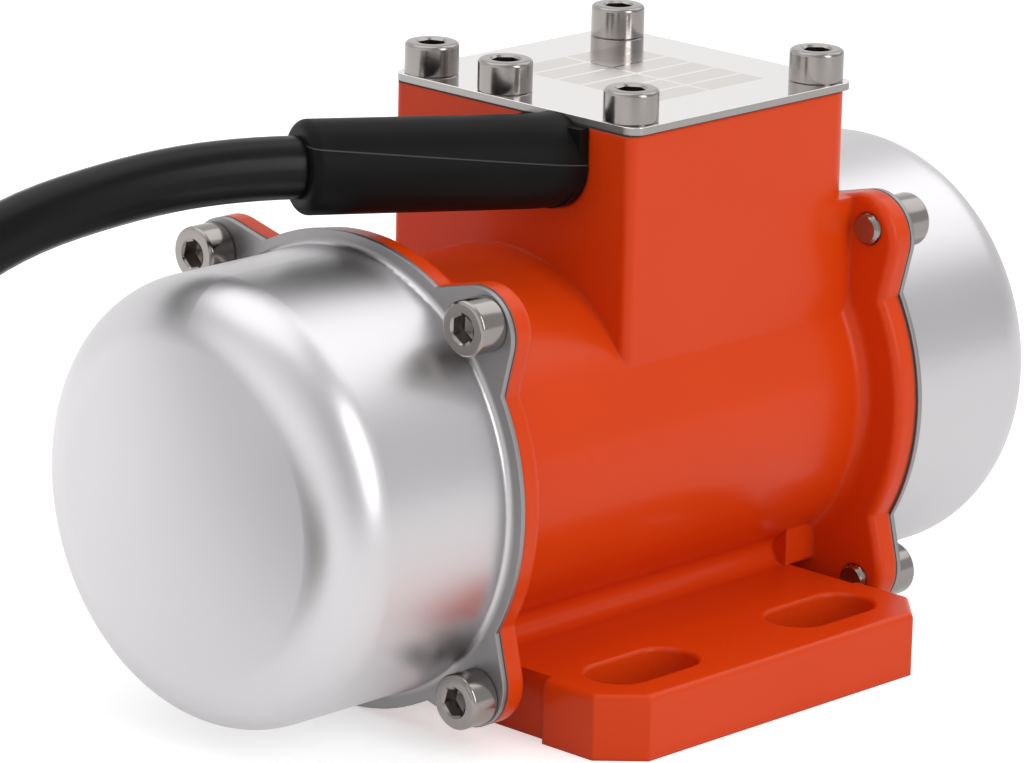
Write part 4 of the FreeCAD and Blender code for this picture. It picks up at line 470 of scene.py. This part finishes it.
# The seam's lighter grey is a painted highlight on the mould's fine ridge, which the bump also raises.
black_with_painted_seam_highlight = add_node(tree, "ShaderNodeMix", {"data_type": "RGBA"}, {
    "Factor": seam, "A": black, "B": "#4A4A4A"})
rough = add_node(tree, "ShaderNodeMapRange", {}, {"Value": bloom, "To Min": 0.42, "To Max": 0.52})
pores = add_node(tree, "ShaderNodeTexNoise", {}, {"Vector": place, "Scale": 1000 / 0.4, "Detail": 1})
matt = add_node(tree, "ShaderNodeBump", {}, {"Height": pores, "Distance": 0.000008})
flash = add_node(tree, "ShaderNodeBump", {}, {"Height": seam, "Distance": 0.00008, "Normal": matt})
moulded = add_node(tree, "ShaderNodeBsdfPrincipled", {}, {
    "Base Color": black_with_painted_seam_highlight, "Roughness": rough, "Specular IOR Level": 0.09, "Normal": flash})
add_node(tree, "ShaderNodeOutputMaterial", {}, {"Surface": moulded})
finish_node("cable_boot", rubber)

# Cable. Four copper cores in a round black PVC sheath, supplied with the motor. It leaves the boot,
# sinks to the ground out of the picture and lies there wound into a coil.
CABLE = 0.0048
# Each point of the route is a way from the boot's tip and a height, in millimetres.
BOOT_TIP = Vector((-0.0504, 0.0059, 0.0))
HEADING = Vector((-0.0359, 0.0153, 0.0)).normalized()
ROUTE_MM = [
    (0, 83.7), (10, 84.2), (26, 82.7), (46, 77.7), (61.5, 67.2), (74.5, 51.7), (85.5, 34.2),
    (97, 20.7), (113, 10.6), (131.5, 6.0), (145, 6.0),
]
# The coil has an outer and an inner turn in each of two layers. A row of the winding is an angle in
# degrees, a radius and a height, from where the cable meets the coil to where it leaves.
OUTER_TURN = 0.0546
INNER_TURN = 0.0450
LOWER = 0.0060
UPPER = 0.0156
MEETS = 66.9
LEAVES = 1390
WINDING = [(MEETS, OUTER_TURN, LOWER), (385, OUTER_TURN, LOWER), (427, INNER_TURN, LOWER),
           (722, INNER_TURN, LOWER), (764, INNER_TURN, UPPER), (1075, INNER_TURN, UPPER),
           (1117, OUTER_TURN, UPPER), (LEAVES, OUTER_TURN, UPPER)]
TAIL = 0.016

sheath, tree, place = start_material("extruded_pvc_sheath")
# The die leaves faint drag lines and a skin that is a little less glossy in places.
drag = add_node(tree, "ShaderNodeTexNoise", {}, {"Vector": place, "Scale": 1000 / 3, "Detail": 2})
skin = add_node(tree, "ShaderNodeTexNoise", {}, {"Vector": place, "Scale": 1000 / 0.5, "Detail": 1})
fine = add_node(tree, "ShaderNodeBump", {}, {"Height": skin, "Distance": 0.000006})
pattern_drives(tree, drag, ["#080809", "#0D0D0E"], [0.26, 0.34], 0.0,
               {"Specular IOR Level": 0.20, "Normal": fine})

route = [BOOT_TIP + HEADING * (along / 1000) + Vector((0, 0, up / 1000)) for along, up in ROUTE_MM]
coil_centre = route[-1] + Vector((-HEADING.y, HEADING.x, 0)) * OUTER_TURN
coil_centre.z = 0.0
# Fifteen points to a turn. A smooth line through such points runs a little inside them.
STEP = 24
BULGE = 1 / (1 - math.radians(STEP) ** 2 / 8 * 0.98)
turns = []
for count in range(1, int((LEAVES - MEETS) / STEP) + 1):
    angle = MEETS + STEP * count
    for before, after in zip(WINDING, WINDING[1:]):
        if before[0] <= angle <= after[0]:
            share = (angle - before[0]) / (after[0] - before[0])
            share = share * share * (3 - 2 * share)
            radius = before[1] + (after[1] - before[1]) * share
            level = before[2] + (after[2] - before[2]) * share
    turn = math.radians(angle)
    turns.append(coil_centre + Vector((math.cos(turn), math.sin(turn), 0)) * radius * BULGE
                 + Vector((0, 0, level)))
outward = Vector((math.cos(math.radians(LEAVES)), math.sin(math.radians(LEAVES)), 0))
onward = Vector((-outward.y, outward.x, 0))
tail_start = coil_centre + outward * OUTER_TURN + Vector((0, 0, UPPER))
tail = [tail_start + onward * TAIL * 0.4, tail_start + onward * TAIL]


def tube(name, paths, radius, steps, sides, finishes):
    """A curve with one round NURBS run to each path."""
    curve = bpy.data.curves.new(name, "CURVE")
    curve.dimensions = "3D"
    for finish in finishes:
        curve.materials.append(finish)
    for number, path in enumerate(paths):
        spline = curve.splines.new("NURBS")
        spline.points.add(len(path) - 1)
        for point, at in zip(spline.points, path):
            point.co = (*at, 1.0)
        spline.order_u = 3
        spline.use_endpoint_u = True
        spline.resolution_u = steps
        spline.material_index = number % len(finishes)
    curve.bevel_depth = radius
    curve.bevel_resolution = sides
    curve.use_fill_caps = True
    return curve


cable = add_piece("cable", tube("cable", [route + turns + tail], CABLE, 6, 6, [sheath]),
                  "cable sheath", "power_cable", "cable_coil")
finish_node("cable_entry", sheath)

# Cores. Three insulated in brown, black and grey and the earth core in green with a yellow stripe.
# At the cable's far end they fan out of the cut sheath, stripped to the bare copper strands.
CORE = 0.0010
COPPER = 0.0007
SPREAD = 0.0015
INSULATED = 0.0140
STRIPPED = 0.0220
CORE_COLOURS = (("brown", "#5B2F1A", "#6B3A22"), ("black", "#151515", "#202020"),
                ("grey", "#6F7174", "#85878A"), ("earth", "#1E7A34", "#D9C21C"))
core_finishes = []
for name, *colours in CORE_COLOURS:
    finish, tree, place = start_material(name + "_core_insulation")
    share = add_node(tree, "ShaderNodeTexNoise", {}, {"Vector": place, "Scale": 1000 / 2, "Detail": 1})
    if name == "earth":
        wave = add_node(tree, "ShaderNodeTexWave", {"bands_direction": "Z"}, {"Vector": place, "Scale": 25})
        share = add_node(tree, MATH, "GREATER_THAN", {0: wave.outputs["Fac"], 1: 0.5})
    pattern_drives(tree, share, colours, [0.38], 0.0, {})
    core_finishes.append(finish)

# Strands of 0.2 mm are drawn as twisted ridges of 3 mm.
strands, tree, place = start_material("bare_copper_strands")
twisted = add_node(tree, "ShaderNodeTexWave", {"bands_direction": "DIAGONAL"}, {
    "Vector": place, "Scale": 125, "Distortion": 1.0})
pattern_drives(tree, twisted.outputs["Fac"], ["#A85A32", "#D98B5C"], [0.32], 0.00008)

cut_end = tail_start + onward * TAIL
for name, radius, reach, finishes in (("insulated_core_ends", CORE, INSULATED, core_finishes),
                                      ("stripped_core_ends", COPPER, STRIPPED, [strands])):
    paths = []
    for aside, up in ((-1, -1), (-1, 1), (1, -1), (1, 1)):
        offset = outward * aside * SPREAD + Vector((0, 0, up * SPREAD))
        paths.append([cut_end + onward * reach * share
                      + offset * (1 + max(0.0, share * reach / STRIPPED) ** 2 * 0.5)
                      for share in (-0.1, 0.3, 0.65, 1.0)])
    add_piece(name, tube(name, paths, radius, 12, 4, finishes),
                                 "wire insulation", "core_ends")

# Inside the box the same four cores run from the cable to the block and the earth screw.
sorted_cores, tree, place = start_material("four_coloured_cores")
island = add_node(tree, "ShaderNodeNewGeometry").outputs["Random Per Island"]
ramp = add_node(tree, "ShaderNodeValToRGB", {}, {"Fac": island})
ramp.color_ramp.interpolation = "CONSTANT"
ramp.color_ramp.elements[0].color = linear("#5B2F1A")
ramp.color_ramp.elements[1].position = 0.25
ramp.color_ramp.elements[1].color = linear("#1B1B1B")
ramp.color_ramp.elements.new(0.5).color = linear("#797B7E")
ramp.color_ramp.elements.new(0.75).color = linear("#1E7A34")
flow = add_node(tree, "ShaderNodeTexNoise", {}, {"Vector": place, "Scale": 1000 / 2, "Detail": 1})
rough = add_node(tree, "ShaderNodeMapRange", {}, {"Value": flow, "To Min": 0.32, "To Max": 0.46})
insulation = add_node(tree, "ShaderNodeBsdfPrincipled", {}, {"Base Color": ramp, "Roughness": rough})
add_node(tree, "ShaderNodeOutputMaterial", {}, {"Surface": insulation})
finish_node("cable_cores", sorted_cores)

# Ties. Two black nylon straps with fine ratchet teeth keep the coil together. Each is pulled tight
# round the turns that lie there, and its locking head sits on the coil's inner side.
nylon, tree, place = start_material("toothed_nylon_strap")
# Teeth of 0.6 mm are drawn 7.5 mm long.
teeth = add_node(tree, "ShaderNodeTexWave", {"bands_direction": "X", "wave_profile": "SAW"}, {
    "Vector": place, "Scale": 1000 / 24}).outputs["Fac"]
steps = add_node(tree, "ShaderNodeBump", {}, {"Height": teeth, "Distance": 0.00012})
cloud = add_node(tree, "ShaderNodeTexNoise", {}, {"Vector": place, "Scale": 1000 / 2, "Detail": 2})
pattern_drives(tree, cloud, ["#121212", "#1E1E1E"], [0.42], 0.0, {"Normal": steps})
STRAP_THICK = 0.0011
STRAP_WIDTH = 0.0046
STRAP_SLACK = 0.0001
HEAD_SIZE = (0.0038, 0.0064, 0.0056)
HEAD_OVERLAP = 0.0002
SNIPPED_END = (STRAP_THICK, STRAP_WIDTH - 0.0004, 0.0040)
TURNS_THREE = ((INNER_TURN, LOWER), (OUTER_TURN, LOWER), (INNER_TURN + 0.0004, UPPER))
TURNS_FOUR = ((INNER_TURN, LOWER), (OUTER_TURN, LOWER), (OUTER_TURN, UPPER), (INNER_TURN, UPPER))


def strap(name, side, bundle, node):
    """A strap round a bundle of turns, given as distances from the coil's middle and heights."""
    # It lies on each turn from one straight stretch to the next.
    outline = []
    for i, (out, up) in enumerate(bundle):
        before, after = bundle[i - 1], bundle[(i + 1) % len(bundle)]
        first = math.atan2(before[0] - out, up - before[1])
        last = math.atan2(out - after[0], after[1] - up)
        while last < first:
            last += 2 * math.pi
        for step in range(9):
            turn = first + (last - first) * step / 8
            outline.append((out, up, math.cos(turn), math.sin(turn)))
    shape = bmesh.new()
    rows = []
    for out, up, along, above in outline:
        row = []
        for reach, aside in ((0, -0.5), (STRAP_THICK, -0.5), (STRAP_THICK, 0.5), (0, 0.5)):
            reach += CABLE + STRAP_SLACK
            row.append(shape.verts.new((coil_centre.x + side * (out + along * reach),
                                        coil_centre.y + aside * STRAP_WIDTH, up + above * reach)))
        rows.append(row)
    for i, row in enumerate(rows):
        after = rows[(i + 1) % len(rows)]
        for k in range(4):
            shape.faces.new((row[k], row[(k + 1) % 4], after[(k + 1) % 4], after[k]))
    inner_face = INNER_TURN - CABLE - STRAP_SLACK - STRAP_THICK
    head_out = inner_face - HEAD_SIZE[0] / 2 + HEAD_OVERLAP
    middle = Vector((coil_centre.x + side * head_out, coil_centre.y, (LOWER + UPPER) / 2))
    head = Matrix.Translation(middle) @ Matrix.Diagonal((*HEAD_SIZE, 1.0))
    bmesh.ops.create_cube(shape, size=1.0, matrix=head)
    # The end that was pulled through the head and snipped off.
    end_at = middle + Vector((0, 0, HEAD_SIZE[2] / 2))
    snipped = Matrix.Translation(end_at) @ Matrix.Diagonal((*SNIPPED_END, 1.0))
    bmesh.ops.create_cube(shape, size=1.0, matrix=snipped)
    bmesh.ops.recalc_face_normals(shape, faces=shape.faces)
    mesh = bpy.data.meshes.new(name)
    shape.to_mesh(mesh)
    shape.free()
    mesh.materials.append(nylon)
    mesh.shade_smooth()
    mesh.set_sharp_from_angle(angle=SHARP)
    return add_piece(name, mesh, "nylon tie", node)


ties = [strap("near_tie", 1, TURNS_THREE, "cable_tie_near"),
        strap("far_tie", -1, TURNS_FOUR, "cable_tie_far")]

# Lid. A plate laser-cut from stainless sheet and mirror polished, on a thin gasket. Where the real
# one carries an etched plate, this one has blank etched fields between polished lines.
finish_node("lid_gasket", fibre)
mirror, tree, place = start_material("mirror_polished_stainless")
haze = add_node(tree, "ShaderNodeTexNoise", {}, {"Vector": place, "Scale": 1000 / 9, "Detail": 2})
split = add_node(tree, "ShaderNodeSeparateXYZ", {}, {0: place})
# Two columns of six fields on the lid's right part. They start a field's length left of their middle.
LID_TOP = AXIS + 0.0519
FIELD_LENGTH, FIELD_WIDTH = 0.0130, 0.0052
FIELDS_MIDDLE = 0.0169
laid = add_node(tree, "ShaderNodeMapping", {}, {
    "Vector": place, "Location": (FIELD_LENGTH - FIELDS_MIDDLE, 0.0, 0.0)})
rules = add_node(tree, "ShaderNodeTexBrick", {"offset": 0.0}, {
    "Vector": laid, "Scale": 1.0, "Mortar Size": 0.0004, "Mortar Smooth": 0.3,
    "Brick Width": FIELD_LENGTH, "Row Height": FIELD_WIDTH}).outputs["Fac"]
from_middle = add_node(tree, MATH, "SUBTRACT", {0: split.outputs[0], 1: FIELDS_MIDDLE})
from_middle = add_node(tree, MATH, "ABSOLUTE", {0: from_middle})
within_x = add_node(tree, MATH, "LESS_THAN", {0: from_middle, 1: FIELD_LENGTH})
aside = add_node(tree, MATH, "ABSOLUTE", {0: split.outputs[1]})
within_y = add_node(tree, MATH, "LESS_THAN", {0: aside, 1: 3 * FIELD_WIDTH})
on_top = add_node(tree, MATH, "GREATER_THAN", {0: split.outputs[2], 1: LID_TOP - 0.0001})
field = add_node(tree, MATH, "MULTIPLY", {0: within_x, 1: within_y})
field = add_node(tree, MATH, "MULTIPLY", {0: field, 1: on_top})
open_cell = add_node(tree, MATH, "SUBTRACT", {0: 1.0, 1: rules})
etched = add_node(tree, MATH, "MULTIPLY", {0: field, 1: open_cell})
plate_tint = add_node(tree, "ShaderNodeMix", {"data_type": "RGBA"}, {
    "Factor": etched, "A": "#ECE9E8", "B": "#D9D4D0"})
polish = add_node(tree, "ShaderNodeMapRange", {}, {"Value": haze, "To Min": 0.03, "To Max": 0.06})
rough = add_node(tree, MATH, "MULTIPLY_ADD", {0: etched, 1: 0.12, 2: polish})
# The laser leaves the sheet's edge dull and grey.
plate_tint = add_node(tree, "ShaderNodeMix", {"data_type": "RGBA"}, {
    "Factor": on_top, "A": "#A9A6A4", "B": plate_tint})
cut_edge = add_node(tree, MATH, "SUBTRACT", {0: 1.0, 1: on_top})
rough = add_node(tree, MATH, "MULTIPLY_ADD", {0: cut_edge, 1: 0.35, 2: rough})
edge = add_node(tree, "ShaderNodeBevel", {"samples": 6}, {"Radius": 0.0002})
still = add_node(tree, "ShaderNodeBump", {}, {
    "Height": haze, "Distance": 0.000004, "Strength": 0.4, "Normal": edge})
shiny = add_node(tree, "ShaderNodeBsdfPrincipled", {}, {
    "Base Color": plate_tint, "Metallic": 1.0, "Roughness": rough, "Normal": still})
add_node(tree, "ShaderNodeOutputMaterial", {}, {"Surface": shiny})
finish_node("terminal_lid", mirror)
# Four screws at the corners and a fifth on the left side.
LID_LEFT, LID_RIGHT = -0.00705, 0.03515
LID_BACK = 0.02105
LID_FIFTH = 0.00525
LID_SEATS = [(x, y, LID_TOP) for x in (LID_LEFT, LID_RIGHT) for y in (-LID_BACK, LID_BACK)]
LID_SEATS.append((LID_LEFT, LID_FIFTH, LID_TOP))
screws("lid_socket_screws", LID_SEATS, (0, 0, 1), LID_SCREW, 11, "lid_screws")

# The table that the motor stands on, white as paper, with the motor's soft shadow on it.
paper, tree, place = start_material("white_table")
seen = add_node(tree, "ShaderNodeLightPath").outputs
# Brighter behind the motor's left end than in front of its right one, as the steel shows it.
split = add_node(tree, "ShaderNodeSeparateXYZ", {}, {0: place})
back_left = add_node(tree, MATH, "SUBTRACT", {0: split.outputs[1], 1: split.outputs[0]})
steel_sees = add_node(tree, "ShaderNodeMapRange", {}, {
    "Value": back_left, "From Min": -0.2, "From Max": 0.25, "To Min": 0.16, "To Max": 0.52})
mirrored = add_node(tree, MATH, "MULTIPLY", {0: seen["Is Glossy Ray"], 1: steel_sees})
own_light = add_node(tree, MATH, "MULTIPLY_ADD", {0: seen["Is Camera Ray"], 1: 0.52, 2: mirrored})
matt = add_node(tree, "ShaderNodeBsdfDiffuse", {}, {"Color": (0.8, 0.8, 0.8, 1.0)})
glow = add_node(tree, "ShaderNodeEmission", {}, {"Color": (1, 1, 1, 1), "Strength": own_light})
both = add_node(tree, "ShaderNodeAddShader", {}, {0: matt, 1: glow})
add_node(tree, "ShaderNodeOutputMaterial", {}, {"Surface": both})
FAR = 3
table = bpy.data.meshes.new("table")
table.from_pydata([(-FAR, -FAR, 0), (FAR, -FAR, 0), (FAR, FAR, 0), (-FAR, FAR, 0)], [], [(0, 1, 2, 3)])
table.materials.append(paper)
table_top = bpy.data.objects.new("table_top", table)
bpy.context.scene.collection.objects.link(table_top)

# A white studio: white to the eye, and in polished steel darker towards the camera, so that the steel
# has shape. What it lights gets a little more of it from the motor's left end.
world = bpy.data.worlds.new("studio")
bpy.context.scene.world = world
world.use_nodes = True
tree = world.node_tree
tree.nodes.clear()
seen = add_node(tree, "ShaderNodeLightPath").outputs
looking = add_node(tree, "ShaderNodeTexCoord").outputs["Generated"]
split = add_node(tree, "ShaderNodeSeparateXYZ", {}, {0: looking})
high = add_node(tree, MATH, "MULTIPLY_ADD", {0: split.outputs[2], 1: 0.5, 2: 0.5})
ramp = add_node(tree, "ShaderNodeValToRGB", {}, {"Fac": high})
ramp.color_ramp.elements[1].color = (1.0, 1.0, 1.0, 1)
for spot, level in ((0.0, 0.6), (0.5, 1.0), (0.64, 1.0), (0.74, 0.88), (0.86, 0.95)):
    element = ramp.color_ramp.elements.new(spot) if spot else ramp.color_ramp.elements[0]
    element.color = (level, level, level, 1)
behind = add_node(tree, "ShaderNodeVectorMath", "DOT_PRODUCT", {0: looking, 1: (-0.05, 0.29, 0)})
reflected = add_node(tree, MATH, "ADD", {0: behind.outputs["Value"], 1: 0.79})
# A white sheet stands off the motor's left end.
end_sheet = add_node(tree, "ShaderNodeMapRange", {}, {
    "Value": split.outputs[0], "From Min": -0.6, "From Max": -0.95, "To Max": 0.35})
reflected = add_node(tree, MATH, "ADD", {0: reflected, 1: end_sheet})
soft = add_node(tree, MATH, "MULTIPLY_ADD", {0: split.outputs[0], 1: -0.14, 2: 0.63})
level = add_node(tree, "ShaderNodeMix", {"data_type": "FLOAT"}, {
    "Factor": seen["Is Glossy Ray"], "A": soft, "B": reflected})
lit = add_node(tree, "ShaderNodeBackground", {}, {"Color": ramp, "Strength": level})
white = add_node(tree, "ShaderNodeBackground", {}, {"Color": (1, 1, 1, 1), "Strength": 1.0})
both = add_node(tree, "ShaderNodeMixShader", {}, {0: seen["Is Camera Ray"], 1: lit, 2: white})
add_node(tree, "ShaderNodeOutputWorld", {}, {"Surface": both})


def soft_box(name, at, width, height, power):
    """A large lamp that looks at the motor, with its sides in metres and its power in watts."""
    lamp = bpy.data.lights.new(name, "AREA")
    lamp.shape = "RECTANGLE"
    lamp.size, lamp.size_y, lamp.energy = width, height, power
    box = bpy.data.objects.new(name, lamp)
    bpy.context.scene.collection.objects.link(box)
    box.location = at
    box.rotation_euler = (Vector((0, 0, 0.04)) - Vector(at)).to_track_quat("-Z", "Y").to_euler()


soft_box("front_box", (0.10, -1.15, 0.60), 0.5, 1.0, 5.3)
soft_box("right_box", (0.90, -0.15, 0.98), 1.0, 1.0, 3)
soft_box("top_box", (-0.15, 0.35, 1.25), 1.2, 1.2, 3.7)

# The camera, where the photograph was taken from. Its focal length is in pixels of that frame.
AZIMUTH, ELEVATION, ROLL = (math.radians(a) for a in (-46.39, 15.73, 1.38))
AIM = Vector((-0.00941, 0.0, 0.00707 + AXIS))
DISTANCE = 0.91919
FOCAL_PIXELS, FRAME_PIXELS = 5956.97, 1024
back = Vector((math.sin(AZIMUTH) * math.cos(ELEVATION), -math.cos(AZIMUTH) * math.cos(ELEVATION),
               math.sin(ELEVATION)))
right = Vector((math.cos(AZIMUTH), math.sin(AZIMUTH), 0.0))
upward = back.cross(right)
rolled = right * math.cos(ROLL) + upward * math.sin(ROLL)
upward = upward * math.cos(ROLL) - right * math.sin(ROLL)
eye = AIM + back * DISTANCE
lens = bpy.data.cameras.new("camera")
lens.sensor_width = 36.0
lens.lens = FOCAL_PIXELS / FRAME_PIXELS * lens.sensor_width
lens.clip_start = 0.05
camera = bpy.data.objects.new("camera", lens)
bpy.context.scene.collection.objects.link(camera)
camera.matrix_world = Matrix.Translation(eye) @ Matrix((rolled, upward, back)).transposed().to_4x4()
bpy.context.scene.camera = camera
bpy.context.scene.view_settings.view_transform = "Standard"
